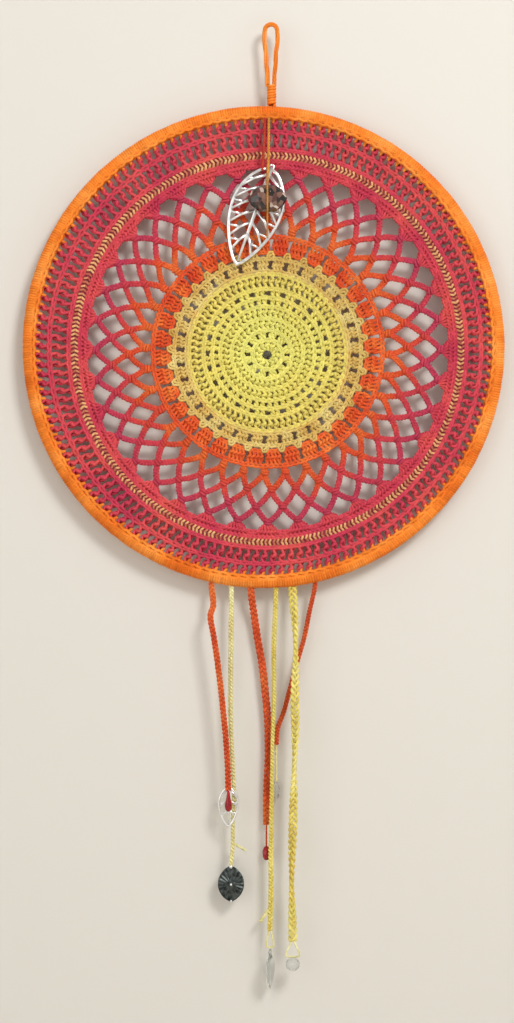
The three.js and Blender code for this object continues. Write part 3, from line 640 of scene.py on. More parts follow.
# %% [markdown]
# ## Pale round and orange clusters
# Thirty-six groups of three posts leave a slot between each pair, and a small loop of yarn stands over
# each slot. The orange round has clusters of four posts in the spaces. Both use the same repeat, so one
# turn lines them up with each other.

# %% Pale round and orange clusters
REPEATS = 36
SLOT_TURN = 1.7 / 360


def pale_bumps(share):
    reach = across(REPEATS, 62.0, 1.9)
    return [[(share - reach, 60.0, 0.2), (share - reach, 62.4, 1.4), (share - reach / 2, 64.4, 1.6),
             (share + reach / 2, 64.6, 1.6), (share + reach, 62.4, 1.4), (share + reach, 60.0, 0.2)],
            [(share - reach / 2, 60.0, 0.4), (share - reach / 3, 61.8, 1.8), (share + reach / 3, 63.2, 1.6)]]


pale = posts_round(REPEATS, 3, 52.2, 59.6, start=-0.34, end=0.34, lean=0.15) + links(3, 60.3) + links(2, 52.4)
pale += pale_bumps(0.5)
pale_round = grown("pale_round_stitches", ROUND_TREE, pale, Count=REPEATS, Material=PALE,
                   Turn=SLOT_TURN + 0.5 / REPEATS, Yarn=0.9, Jitter=0.5, Rhythm=2.2, Seed=9.0)
stands_for(pale_round, "hoop", "pale_yarn", "pale_yellow_round")

clusters = posts_round(REPEATS, 4, 62.8, 73.0, start=-0.41, end=0.41, lean=0.1, spread=0.85)
clusters += links(4, 74.0, rise=0.9) + links(3, 64.0)
cluster_round = grown("cluster_round_stitches", ROUND_TREE, clusters, Count=REPEATS, Material=FLAME,
                      Turn=SLOT_TURN + 0.5 / REPEATS, Yarn=0.9, Jitter=0.6, Rhythm=2.2, Seed=15.0)
stands_for(cluster_round, "hoop", "flame_yarn", "orange_cluster_round")

# %% [markdown]
# ## Net of chain loops
# The net is three rows of chain loops. Each loop is caught at its middle by the next row, which makes
# open diamonds. The rows lag behind the fans as they go in, so the diamonds lean. Braids between listed
# knots keep those places in one table.

# %% Trellis net
KNOTS = {"fan": (0.0, 111.6), "high": (0.5, 101.3), "low": (0.0, 90.0), "anchor": (0.5, 78.7)}
LAGS = {"fan": 0.0, "high": -0.05, "low": -0.15, "anchor": -0.35}
BOW = 0.4

net = []
for outer_row, inner_row in (("fan", "high"), ("high", "low"), ("low", "anchor")):
    share, radius = KNOTS[outer_row]
    head = (share + LAGS[outer_row], radius)
    for side in (-1, 1):
        foot = (share + 0.5 * side + LAGS[inner_row], KNOTS[inner_row][1])
        net += braid(REPEATS, foot, head, bow=BOW * side)
for row, (share, radius) in KNOTS.items():
    net += coil(REPEATS, share + LAGS[row], radius, 3.4)
net += braid(REPEATS, (0.5 + LAGS["anchor"], 74.6), (0.5 + LAGS["anchor"], 78.7))
net_piece = grown("net_chains", ROUND_TREE, net, Count=REPEATS, Material=SUNSET, Yarn=0.9, Sides=5,
                  Jitter=0.7, Seed=21.0)
stands_for(net_piece, "hoop", "sunset_yarn", "trellis_net")

# %% [markdown]
# ## Fans
# Each fan is seven posts from one knot of the net. They spread to a closed edge, and the arch between two
# fans is bridged by short links. Posts that lean by their place in the fan give the shape.

# %% Fans
fans = []
FAN_POSTS = 7
FAN_HEAD = 120.4
for index in range(FAN_POSTS):
    spread = (index + 0.5) / FAN_POSTS - 0.5
    foot_radius = 112.0 + 9.0 * max(0.0, abs(spread) - 0.12)
    fans += post(REPEATS, (spread * 0.42, foot_radius), (spread, FAN_HEAD), turns=0.7, spread=0.85)
    fans += wrap_bar(REPEATS, spread * 0.75, 117.6, height=1.5)
for side in (-1, 1):
    fans += post(REPEATS, (0.5 + 0.07 * side, 117.6), (0.5 + 0.02 * side, FAN_HEAD), turns=0.4)
fans += links(3, 117.8, start=0.32, end=0.68)
fans += links(FAN_POSTS, 121.2)
fan_round = grown("fan_stitches", ROUND_TREE, fans, Count=REPEATS, Material=CRIMSON, Yarn=0.9,
                  Jitter=0.5, Seed=27.0)
stands_for(fan_round, "hoop", "crimson_yarn", "crimson_fan_round")

# %% [markdown]
# ## Gold round and crimson bands
# The gold round is worked tightly, so only its stitch tops show, in two rows that slant towards each
# other. The bands outside it are single rounds of tall posts. All three share one count, because each
# round is worked into the one before.

# %% Gold round and crimson bands
BAND_COUNT = 148


def tight_stitch(inner, outer):
    """Two rows of stitch tops that slant towards each other, over a low ground of links."""
    middle = (inner + outer) / 2
    tops = []
    for low, way in ((inner, 1), (middle, -1)):
        high = low + (outer - inner) * 0.5
        for share in (-0.25, 0.25):
            tops.append([(share - 0.15 * way, low, 0.2), (share - 0.07 * way, low + 0.4, 1.1),
                         (share + 0.07 * way, high - 0.4, 1.2), (share + 0.15 * way, high, 0.2)])
    return tops + links(1, inner + 0.9, height=0.1) + links(1, outer - 0.8, height=0.1)


gold_round = grown("gold_round_stitches", ROUND_TREE, tight_stitch(122.4, 126.8), Count=BAND_COUNT,
                   Material=ROSE, Yarn=0.85, Jitter=0.5, Rhythm=1.7, Seed=33.0)
stands_for(gold_round, "hoop", "gold_rose_yarn", "gold_rose_round")

inner_band = posts_round(BAND_COUNT, 1, 128.8, 138.4, lean=0.3, spread=1.3)
inner_band += links(1, 128.3, height=0.9) + links(1, 139.2, rise=0.9, height=0.9)
inner_band_round = grown("inner_band_stitches", ROUND_TREE, inner_band, Count=BAND_COUNT, Material=CRIMSON,
                         Yarn=1.05, Jitter=0.6, Seed=39.0)
stands_for(inner_band_round, "hoop", "crimson_yarn", "crimson_band_inner")
outer_band = posts_round(BAND_COUNT, 1, 139.8, 147.4, lean=0.3, spread=1.3)
outer_band_round = grown("outer_band_stitches", ROUND_TREE, outer_band, Count=BAND_COUNT, Material=CRIMSON,
                         Yarn=1.05, Jitter=0.6, Seed=45.0)
stands_for(outer_band_round, "hoop", "crimson_yarn", "crimson_band_outer")

# %% [markdown]
# ## Hoop cover
# The cover is worked over the ring: yarn wraps it from the back, and a chain of stitch tops runs along
# the front of its inner side. A torus with a bump would look flat at its edge, so real wraps are laid
# round it, four for each stitch.

# %% Hoop cover
COVER_COUNT = 150
COVER_YARN = 1.05
WRAP_RADIUS = COVER_RADIUS - COVER_YARN


def wrap(share, slant, start, end, samples=14):
    points = []
    for step in range(samples + 1):
        angle = math.radians(start + (end - start) * step / samples)
        points.append((share + slant * step / samples, HOOP_RADIUS + WRAP_RADIUS * math.cos(angle),
                       WRAP_RADIUS * math.sin(angle)))
    return points


cover = [wrap(share, 0.14, -215, 125) for share in (-0.375, -0.125, 0.125, 0.375)]
cover += links(1, HOOP_RADIUS - 2.1, rise=1.25, height=WRAP_RADIUS - 0.1)
cover += [[(0.1, HOOP_RADIUS - 3.0, 2.8), (0.06, HOOP_RADIUS - 4.6, 1.9), (0.0, HOOP_RADIUS - 6.2, 0.8)]]
cover_piece = grown("cover_stitches", ROUND_TREE, cover, Count=COVER_COUNT, Material=ORANGE, Yarn=COVER_YARN,
                    Jitter=0.25, Seed=51.0)
stands_for(cover_piece, "hoop", "orange_yarn", "hoop_cover")
frame["nodes"]["hoop_ring"].data.materials.clear()
frame["nodes"]["hoop_ring"].data.materials.append(STEEL)

# %% [markdown]
# ## Cord paths
# Cords hang along the routes that they take in the photograph. A smooth curve passes through every listed
# point and is cut into even steps, because uneven steps would stretch the stitches. A tape is a flat
# plait that turns as it hangs, and a strand is a rope of plies.

# %% Cord paths


def smooth(points, step=1.5):
    """A centripetal curve through the points, in even steps."""
    points = np.array(points, float)
    ends = np.vstack([2 * points[0] - points[1], points, 2 * points[-1] - points[-2]])
    dense = []
    for a, b, c, d in zip(ends, ends[1:], ends[2:], ends[3:]):
        knots = np.cumsum([0, *[np.linalg.norm(q - p) ** 0.5 for p, q in ((a, b), (b, c), (c, d))]])
        for t in np.linspace(knots[1], knots[2], 24, endpoint=False):
            def mix(p, q, low, high):
                return p + (q - p) * (t - knots[low]) / (knots[high] - knots[low])
            first = mix(mix(a, b, 0, 1), mix(b, c, 1, 2), 0, 2)
            second = mix(mix(b, c, 1, 2), mix(c, d, 2, 3), 1, 3)
            dense.append(mix(first, second, 1, 2))
    dense = np.array([*dense, points[-1]])
    lengths = np.concatenate([[0], np.cumsum(np.linalg.norm(np.diff(dense, axis=0), axis=1))])
    count = max(4, round(lengths[-1] / step))
    even = np.linspace(0, lengths[-1], count + 1)
    return [tuple(np.interp(s, lengths, dense[:, axis]) for axis in range(3)) for s in even]


def length_of(path):
    return float(np.linalg.norm(np.diff(np.array(path), axis=0), axis=1).sum())


def smoothstep(value):
    t = min(max(value, 0.0), 1.0)
    return t * t * (3 - 2 * t)


TAPE_TUCK = 2.5


def tape_path(name):
    radius, layer, x, route = TAPES[name]
    top = (HOOP_X + x, 0.0, HOOP_Z - math.sqrt((COVER_OUTER + CLEARANCE + radius) ** 2 - x * x))
    rest = [(HOOP_X + a, LAYERS[layer] * smoothstep(d / LAYER_DROP), HOOP_BOTTOM_Z - d) for a, d in route]
    tucked = (top[0], 0.0, top[2] + TAPE_TUCK)
    return smooth([tucked, top, *rest])


def plait(amplitude, height, samples=12):
    """One length of a three-strand plait, drawn from x 0 to 1 with a little lap at both ends."""
    strands = []
    for strand in range(3):
        points = []
        for step in range(-1, samples + 2):
            phase = 2 * math.pi * (step / samples + strand / 3)
            points.append((step / samples, amplitude * math.sin(phase), height * math.sin(2 * phase)))
        strands.append(points)
    return strands


def plies(number, radius, samples=10):
    """One turn of a rope of that many plies."""
    strands = []
    for ply in range(number):
        points = []
        for step in range(-1, samples + 2):
            phase = 2 * math.pi * (step / samples + ply / number)
            points.append((step / samples, radius * math.cos(phase), radius * math.sin(phase)))
        strands.append(points)
    return strands


def along(name, strands, path, pitch, material, yarn_radius, **values):
    count = max(2, round(length_of(path) / pitch))
    return grown(name, PATH_TREE, strands, path, Count=count, Material=material, Yarn=yarn_radius, **values)


def metres(path):
    return [tuple(component * MM for component in point) for point in path]

# %% [markdown]
# ## Hanging loop and knot
# A few lengths of yarn lie side by side in the loop and are bound above the hoop. A hard twist would look
# like rope, so the plies make about one turn every four centimetres. The binding is one strand wound as a
# tight coil.

# %% Hanging loop and knot
LOOP_HALF_WIDTH = 4.2
LOOP_YARN_RADIUS = 1.6
LOOP_FOOT = (1.95, -37.7)
KNOT = (0.4, -41.0)
crown = LOOP_HALF_WIDTH / math.sqrt(2)
loop_sides = [(LOOP_FOOT[0], LOOP_FOOT[1]), ((LOOP_FOOT[0] + LOOP_HALF_WIDTH) / 2, -20.15),
              (LOOP_HALF_WIDTH, LOOP_YARN_RADIUS - LOOP_HALF_WIDTH),
              (crown, LOOP_YARN_RADIUS - LOOP_HALF_WIDTH + crown)]
loop_path = smooth([*[(-x, 0.0, z) for x, z in loop_sides], (0.0, 0.0, LOOP_YARN_RADIUS),
                    *[(x, 0.0, z) for x, z in reversed(loop_sides)]], step=0.8)
loop = along("loop_yarn", plies(3, 0.8, 40), loop_path, 42.0, ORANGE, 0.8, Jitter=0.1)
stands_for(loop, "loop", "orange_yarn", "hanging_loop")
knot_path = [(KNOT[0], 0.0, KNOT[1] + 3.0 - 12.4 * step / 12) for step in range(13)]
knot = along("knot_yarn", plies(1, 2.1, 14), knot_path, 1.9, ORANGE, 1.0, Jitter=0.35)
stands_for(knot, "knot", "orange_yarn", "hanging_knot")

# %% [markdown]
# ## Pendant strands
# Two thin strands tie the pendant to the hoop: a red one behind and a gold one that passes in front of
# the crystal and ends in a loose tail. They are drawn as two-ply ropes just in front of the leaf.

# %% Pendant strands
LEAF_FRONT = -5.6
CRYSTAL_X = 2.4
STRAND_RADIUS = 1.0
strand_y = LEAF_FRONT - CLEARANCE - STRAND_RADIUS
crystal_y = LEAF_FRONT - CLEARANCE - 4.2
strand_reach = (COVER_RADIUS + CLEARANCE + STRAND_RADIUS) * math.sqrt(0.5)


def strand_path(start_x, stops):
    start = (HOOP_X + start_x, -strand_reach, HOOP_TOP_Z - strand_reach)
    return smooth([start, *[(HOOP_X + x, y, HOOP_TOP_Z - drop) for x, y, drop in stops]], step=1.0)


red_path = strand_path(1.05, [(0.2, strand_y, 20), (-0.7, strand_y, 38)])
gold_path = strand_path(3.35, [(3.2, strand_y, 20), (2.9, strand_y, 35.8), (CRYSTAL_X, crystal_y, 47.5)])
red_strand = along("pendant_red_yarn", plies(2, 0.42), red_path, 4.0, STRAND_CRIMSON, 0.58, Jitter=0.05)
gold_strand = along("pendant_gold_yarn", plies(2, 0.42), gold_path, 4.0, STRAND_GOLD, 0.58, Jitter=0.05)
TAIL_ROUTE = ((0, 47.2), (4.6, 52), (4.9, 58), (3.4, 64), (0, 67), (0, 74), (0, 82))
tail_path = smooth([(HOOP_X + CRYSTAL_X, crystal_y - out, HOOP_TOP_Z - drop) for out, drop in TAIL_ROUTE],
                   step=1.0)
tail = along("pendant_tail_yarn", plies(2, 0.25), tail_path, 3.0, STRAND_GOLD, 0.4, Jitter=0.05)
stands_for(red_strand, "pendant", "crimson_yarn", "pendant_cord_red")
stands_for(gold_strand, "pendant", "orange_yarn", "pendant_cord_gold")
stands_for(tail, "pendant", "orange_yarn", "pendant_tail")

# %% [markdown]
# ## Tassel tapes
# Each tape is a narrow strip of crochet. Working out every loop of so thin a strip adds little, so a
# three-strand plait of the right width stands in. Twist turns the wide yellow tape over as it hangs.

# %% Tassel tapes
TAPE_LOOKS = {
    "orange": (TAPE_RED, "flame_yarn", 0.0, "orange_tassel"),
    "cream": (TAPE_CREAM, "pale_yarn", 0.25, "cream_tassel"),
    "red": (TAPE_RED, "flame_yarn", 0.0, "red_tassel"),
    "thin_yellow": (TAPE_YELLOW, "yellow_yarn", 0.5, "thin_yellow_tassel"),
    "wide_yellow": (TAPE_YELLOW, "yellow_yarn", 1.5, "wide_yellow_tassel"),
    "crimson": (TAPE_RED, "crimson_yarn", 0.0, "crimson_tassel"),
}
TAPE_WIDTHS = {"orange": 4.2, "cream": 3.6, "red": 5.2, "thin_yellow": 3.6, "wide_yellow": 6.2,
               "crimson": 3.4}
PLAIT_PITCH = 1.9
tapes = {}
tape_paths = {}
for name, (material, slot, twist, body) in TAPE_LOOKS.items():
    yarn_radius = min(0.95, TAPE_WIDTHS[name] * 0.19)
    amplitude = TAPE_WIDTHS[name] / 2 - yarn_radius
    tape_paths[name] = tape_path(name)
    tapes[name] = along(f"tape_{name}", plait(amplitude, 0.75), tape_paths[name],
                        TAPE_WIDTHS[name] * PLAIT_PITCH, material, yarn_radius,
                        Twist=twist, Jitter=0.3, Rhythm=0.4, Seed=len(tapes) * 7.0)
    stands_for(tapes[name], body, slot, f"tassel_{name}")

# %% [markdown]
# ## Charms and beads
# Openwork leaves are tubes along their rim and veins, glass is cut in flat facets and drops are turned. A
# boolean cut leaf would have sharp sheet edges, but the cast ones are rounded, and tubes give that at
# once. These helpers return points and faces, which one function makes a piece.

# %% Charm helpers


def mesh_piece(name, vertices, faces, material, smooth_faces=False):
    mesh = bpy.data.meshes.new(name)
    mesh.from_pydata([[c * MM for c in v] for v in vertices], [], faces)
    mesh.update()
    mesh.materials.append(material)
    mesh.polygons.foreach_set("use_smooth", [smooth_faces] * len(mesh.polygons))
    piece = bpy.data.objects.new(name, mesh)
    scene.collection.objects.link(piece)
    print(f"{name}: {len(mesh.polygons)} faces")
    return piece


def tubes(runs, flat=0.6, sides=8):
    """Vertices and faces of tubes that lie in the XZ plane, flattened in depth. A run is (points, radii)."""
    vertices, faces = [], []
    for points, radii in runs:
        base = len(vertices)
        points = [Vector((x, 0.0, z)) for x, z in points]
        for index, point in enumerate(points):
            ahead = points[min(index + 1, len(points) - 1)] - points[max(index - 1, 0)]
            sideways = Vector((ahead.z, 0.0, -ahead.x)).normalized()
            for side in range(sides):
                angle = 2 * math.pi * side / sides
                offset = sideways * (radii[index] * math.cos(angle))
                depth = flat * radii[index] * math.sin(angle)
                vertices.append((point.x + offset.x, depth, point.z + offset.z))
        for index in range(len(points) - 1):
            for side in range(sides):
                a = base + index * sides + side
                b = base + index * sides + (side + 1) % sides
                faces.append((a, b, b + sides, a + sides))
        faces.append(tuple(base + side for side in range(sides))[::-1])
        faces.append(tuple(base + (len(points) - 1) * sides + side for side in range(sides)))
    return vertices, faces


def turned_tilt(vertices, degrees, to):
    """Turns points about the Y axis, a hanging piece towards the viewer's right, and moves them."""
    c, s = math.cos(math.radians(degrees)), math.sin(math.radians(degrees))
    return [(x * c - z * s + to[0], y + to[1], x * s + z * c + to[2]) for x, y, z in vertices]


EYELET_RADIUS = 1.55
EYELET_WIRE = 0.65


def eyelet():
    """The ring that a leaf hangs by, round 0, 0."""
    angles = np.linspace(0, 2 * math.pi, 17)
    points = [(EYELET_RADIUS * math.sin(a), EYELET_RADIUS * math.cos(a)) for a in angles]
    return points, [EYELET_WIRE] * len(points)


def blade_half(share, width):
    return width / 2 * max(math.sin(math.pi * share ** 0.8), 0.0) ** 0.75


def leaf_runs(length, width, veins, gauge):
    """Rim, midrib and forked side veins of a leaf that hangs blade down from its eyelet at 0, 0."""
    top = -0.9
    rim_steps = 28
    shares = [step / rim_steps for step in range(rim_steps + 1)]
    edge = [(blade_half(share, width - gauge), top - length * share) for share in shares]
    outline = edge + [(-x, z) for x, z in reversed(edge[1:-1])] + [edge[0]]
    runs = [(outline, [gauge * 0.5] * len(outline))]
    midrib = [(0.0, 0.0), (0.0, top - 0.5 * length), (0.0, top - 0.96 * length)]
    runs.append((midrib, [gauge * 0.7, gauge * 0.6, gauge * 0.35]))
    for vein in range(veins):
        start = 0.06 + 0.74 * vein / veins
        for side in (-1, 1):
            tip = min(start + 0.2, 0.97)
            reach = blade_half(tip, width - gauge)
            begin = (0.0, top - length * start)
            bend = (side * reach * 0.55, top - length * (start + 0.085))
            end = (side * reach, top - length * tip)
            runs.append(([begin, bend, end], [gauge * 0.5, gauge * 0.42, gauge * 0.34]))
            fork_share = min(start + 0.1, 0.97)
            fork = (side * blade_half(fork_share, width - gauge), top - length * fork_share)
            runs.append(([bend, fork], [gauge * 0.4, gauge * 0.3]))
    runs.append(eyelet())
    return runs


def faceted(rings, axis_sides, depth=1.0):
    """A cut stone: convex hull of rings (radius, height), every other ring turned by half a facet."""
    hull = bmesh.new()
    for index, (radius, height) in enumerate(rings):
        if radius == 0:
            hull.verts.new((0.0, 0.0, height))
            continue
        for side in range(axis_sides):
            angle = 2 * math.pi * (side + (0.5 if index % 2 else 0.0)) / axis_sides
            hull.verts.new((radius * math.cos(angle), depth * radius * math.sin(angle), height))
    result = bmesh.ops.convex_hull(hull, input=hull.verts)
    unused = [v for v in result["geom_interior"] if isinstance(v, bmesh.types.BMVert)]
    bmesh.ops.delete(hull, geom=unused, context="VERTS")
    hull.verts.index_update()
    vertices = [tuple(v.co) for v in hull.verts]
    faces = [tuple(v.index for v in f.verts) for f in hull.faces]
    hull.free()
    return vertices, faces


def moved(vertices, to):
    return [(x + to[0], y + to[1], z + to[2]) for x, y, z in vertices]


def lathe(profile, sides):
    """A smooth turned drop from (radius, height) stops with pointed ends."""
    vertices = [(0.0, 0.0, profile[0][1])]
    for radius, height in profile[1:-1]:
        vertices += [(radius * math.cos(a), radius * math.sin(a), height)
                     for a in np.linspace(0, 2 * math.pi, sides, endpoint=False)]
    vertices.append((0.0, 0.0, profile[-1][1]))
    last = len(vertices) - 1
    faces = [(0, 1 + (i + 1) % sides, 1 + i) for i in range(sides)]
    for ring in range(len(profile) - 3):
        a, b = 1 + ring * sides, 1 + (ring + 1) * sides
        faces += [(a + i, a + (i + 1) % sides, b + (i + 1) % sides, b + i) for i in range(sides)]
    faces += [(last, last - sides + i, last - sides + (i + 1) % sides) for i in range(sides)]
    return vertices, faces


def end_of(name):
    return tape_paths[name][-1]


def below(point, drop):
    return (point[0], point[1], point[2] - drop)

# %% [markdown]
# ## Pendant leaf and crystal
# The silver leaf hangs by its eyelet and leans to the viewer's left. The smoky crystal lies across its
# upper half. A convex hull over staggered rings gives flat facets that close without any clean-up.

# %% Pendant leaf and crystal
LEAF_TILT = -19.9
leaf_eyelet = (HOOP_X + 5.1, LEAF_FRONT + 0.6, HOOP_TOP_Z - 35.8)
vertices, faces = tubes(leaf_runs(65.5, 34.6, 6, 2.2), flat=0.45)
leaf = mesh_piece("pendant_leaf", turned_tilt(vertices, LEAF_TILT, leaf_eyelet), faces, SILVER, True)
stands_for(leaf, "leaf", "silver", "filigree_leaf")

CRYSTAL_AT = (HOOP_X + CRYSTAL_X, crystal_y, HOOP_TOP_Z - 56.8)
rings = [(0.0, -12.8), (4.8, -10.2), (8.3, -5.6), (9.0, 0.0), (8.3, 5.6), (4.8, 10.2), (0.0, 12.8)]
vertices, faces = faceted(rings, 10, depth=4.2 / 9.0)
sideways = [(z, y, x) for x, y, z in vertices]
crystal = mesh_piece("pendant_crystal", moved(sideways, CRYSTAL_AT), [f[::-1] for f in faces], SMOKY)
stands_for(crystal, "pendant", "smoky_glass", "smoky_crystal")

# %% [markdown]
# ## Charms on the orange tape
# A red drop ends the orange tape, with a small openwork leaf just behind it. The drop is turned from a
# short profile, and the leaf uses the same veins as the large one with fewer forks.

# %% Charms on the orange tape
DROP = [(0, 0), (0.35, 0.01), (0.6, 0.05), (0.88, 0.13), (1, 0.22), (0.93, 0.35), (0.78, 0.46), (0.55, 0.65),
        (0.4, 0.85), (0.32, 0.96), (0.15, 0.995), (0, 1)]
orange_end = end_of("orange")
vertices, faces = lathe([(r * 2.4, (h - 1) * 14.0) for r, h in DROP], 20)
red_drop = mesh_piece("red_glass_drop", moved(vertices, below(orange_end, CLEARANCE)), faces, RED_GLASS, True)
stands_for(red_drop, "orange_tassel", "red_glass", "red_drop")
vertices, faces = tubes(leaf_runs(25.0, 13.5, 3, 1.3))
SMALL_LEAF_DEPTH = -3.05
small_leaf_eyelet = (orange_end[0], SMALL_LEAF_DEPTH, orange_end[2] + 1.5)
small_leaf = mesh_piece("small_leaf_charm", moved(vertices, small_leaf_eyelet), faces, SILVER, True)
stands_for(small_leaf, "small_leaf", "silver", "small_leaf")

# %% [markdown]
# ## Fluted medallion
# The cream tape carries a pointed oval with ribs that run out from its centre. A bump would leave the rim
# smooth, so the ribs are real: rays of points whose height follows a cosine, on both faces. Three bright
# studs sit at its centre and its ends.

# %% Fluted medallion
MEDALLION_EDGE = [(0, 0), (0.36, 0.07), (0.65, 0.17), (0.87, 0.29), (0.98, 0.41), (1, 0.51), (0.94, 0.65),
                  (0.79, 0.77), (0.54, 0.88), (0.27, 0.95), (0, 1)]
MEDALLION_SIZE = (8.4, 23.5, 1.5)
FLUTES = 18


def medallion_mesh():
    """A fluted cushion: rays from the centre to the edge, domed and ribbed on both faces."""
    half, tall, thick = MEDALLION_SIZE
    right = [(w * half, -d * tall) for w, d in MEDALLION_EDGE]
    outline = np.array(right + [(-x, z) for x, z in reversed(right[1:-1])])
    centre = np.array([0.0, -0.51 * tall])
    rays = 8 * FLUTES
    angles = np.unwrap(np.arctan2(*(outline - centre).T))
    reach = np.linalg.norm(outline - centre, axis=1)
    order = np.argsort(np.mod(angles, 2 * math.pi))
    around_edge = np.mod(angles, 2 * math.pi)[order]
    vertices, faces = [], []
    shares = [0.0, 0.16, 0.2, 0.45, 0.7, 0.9, 1.0]
    for face in (-1, 1):
        base = len(vertices)
        for share in shares[1:]:
            for ray in range(rays):
                angle = 2 * math.pi * ray / rays
                out = share * np.interp(angle, around_edge, reach[order], period=2 * math.pi)
                rib = 0.32 * (1 + math.cos(FLUTES * angle)) * (0.2 < share < 0.95)
                dome = thick * (1 - 0.55 * share ** 2) - rib + (0.3 if share < 0.18 else 0.0)
                depth = face * (dome if share < 1 else thick * 0.35)
                vertices.append((centre[0] + out * math.sin(angle), depth, centre[1] + out * math.cos(angle)))
        hub = len(vertices)
        vertices.append((centre[0], face * (thick + 0.35), centre[1]))
        for ring in range(len(shares) - 2):
            for ray in range(rays):
                a = base + ring * rays + ray
                b = base + ring * rays + (ray + 1) % rays
                quad = (a, b, b + rays, a + rays)
                faces.append(quad if face < 0 else quad[::-1])
        for ray in range(rays):
            tri = (hub, base + (ray + 1) % rays, base + ray)
            faces.append(tri if face < 0 else tri[::-1])
    front_edge = (len(shares) - 2) * rays
    back_edge = len(vertices) // 2 + front_edge
    for ray in range(rays):
        following = (ray + 1) % rays
        faces.append((front_edge + ray, front_edge + following, back_edge + following, back_edge + ray))
    return vertices, faces


cream_end = end_of("cream")
vertices, faces = medallion_mesh()
medallion_top = below(cream_end, CLEARANCE)
medallion = mesh_piece("fluted_medallion", moved(vertices, medallion_top), faces, PEWTER, True)
stands_for(medallion, "medallion", "pewter", "pewter_medallion")


def stud(radius, x, y, z):
    steps = [(math.sin(a), -math.cos(a)) for a in np.linspace(0, math.pi, 9)]
    made, polygons = lathe([(r * radius, h * radius) for r, h in steps], 16)
    return moved(made, (x, y, z)), polygons


stud_vertices, stud_faces = [], []
STUDS = ((0.85, -1.75, 0.51), (1.3, -0.4, 0.03), (0.8, -0.6, 0.97))
for radius, depth, drop in STUDS:
    x, y, z = medallion_top
    made, polygons = stud(radius, x, y + depth, z - drop * MEDALLION_SIZE[1])
    stud_faces += [tuple(index + len(stud_vertices) for index in polygon) for polygon in polygons]
    stud_vertices += made
studs = mesh_piece("medallion_studs", stud_vertices, stud_faces, SILVER, True)
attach(studs, "medallion")

# %% [markdown]
# ## Tails and threads
# Cut yarn ends stick out of two tapes, and beads hang on thin threads and loops. They are short two-ply
# ropes on the same path tree as the tapes, so they share the tapes' colour.

# %% Tails and threads


def yarn_tail(name, side, rise, reach, fall, radius):
    path = tape_paths[name]
    back = max(0, len(path) - 1 - round(rise / 1.5))
    seat = path[back]
    start = (seat[0] + side * TAPES[name][0] * 0.7, seat[1], seat[2])
    tip = (seat[0] + side * (TAPES[name][0] + radius + CLEARANCE + reach), seat[1], seat[2] - fall)
    middle = tuple((a + b) / 2 for a, b in zip(start, tip))
    return smooth([start, middle, tip], step=0.6)


def thread_loop(top, width, drop):
    half = width / 2
    left = [(-0.8, 0.0), (-half, 0.85), (-half * 0.8, 1.0)]
    stops = [*left, (0.0, 1.02), *[(-x, share) for x, share in reversed(left)]]
    return smooth([(top[0] + x, top[1], top[2] - share * drop) for x, share in stops], step=0.5)


def hanging(top, drop):
    return smooth([(top[0], top[1], top[2] - drop * share) for share in (0, 0.5, 1)], step=1.0)


THREAD = plies(2, 0.27)
THREAD_PITCH = 3.0
cream_tail = along("cream_tail_yarn", plies(2, 0.4), yarn_tail("cream", 1, 14, 5.4, 4, 0.9), THREAD_PITCH,
                   TAPE_CREAM, 0.5, Jitter=0.1)
stands_for(cream_tail, "cream_tassel", "pale_yarn", "cream_tail")
yellow_tail = along("yellow_tail_yarn", plies(2, 0.55), yarn_tail("thin_yellow", -1, 13, 3.6, 8, 1.2),
                    THREAD_PITCH, TAPE_CREAM, 0.65, Jitter=0.1)
stands_for(yellow_tail, "thin_yellow_tassel", "yellow_yarn", "yellow_tail")
red_end = end_of("red")
THREAD_TUCK = 1.0
ruby_thread = along("ruby_thread_yarn", THREAD, hanging(below(red_end, -THREAD_TUCK), 15.3), THREAD_PITCH,
                    TAPE_RED, 0.38, Jitter=0.03)
stands_for(ruby_thread, "ruby", "crimson_yarn", "ruby_thread")
crimson_end = end_of("crimson")
crystal_thread = along("crystal_thread_yarn", THREAD, hanging(below(crimson_end, -THREAD_TUCK), 25.3),
                       THREAD_PITCH, TAPE_CREAM, 0.38, Jitter=0.03)
stands_for(crystal_thread, "crystal", "pale_yarn", "crystal_thread")
thin_end = end_of("thin_yellow")
LOOP_GAP = 0.95
clear_loop_top = below(thin_end, LOOP_GAP)
clear_loop = along("clear_leaf_loop_yarn", THREAD, thread_loop(clear_loop_top, 4.6, 10.0), THREAD_PITCH,
                   TAPE_CREAM, 0.4, Jitter=0.03)
stands_for(clear_loop, "thin_yellow_tassel", "pale_yarn", "clear_leaf_loop")
wide_end = end_of("wide_yellow")
glass_loop_top = below(wide_end, LOOP_GAP)
GLASS_LOOP_DROP = 9.4
glass_loop = along("glass_drop_loop_yarn", THREAD, thread_loop(glass_loop_top, 8.6, GLASS_LOOP_DROP),
                   THREAD_PITCH, TAPE_CREAM, 0.4, Jitter=0.03)
stands_for(glass_loop, "glass_drop", "pale_yarn", "glass_drop_loop")

# %% [markdown]
# ## Cut beads
# A ruby, a clear crystal and a clear drop hang from three tapes. One profile serves all, stretched to
# each bead's size and cut with eight facets round.

# %% Beads on the red, crimson and wide yellow tapes
ROUND_CUT = [(0.0, 0.0), (0.5, 0.02), (0.86, 0.18), (1.0, 0.4), (1.0, 0.6), (0.86, 0.82), (0.5, 0.98),
             (0.0, 1.0)]


def cut_bead(name, radius, length, top, material):
    vertices, faces = faceted([(r * radius, (h - 1) * length) for r, h in ROUND_CUT], 8)
    return mesh_piece(name, moved(vertices, top), faces, material)


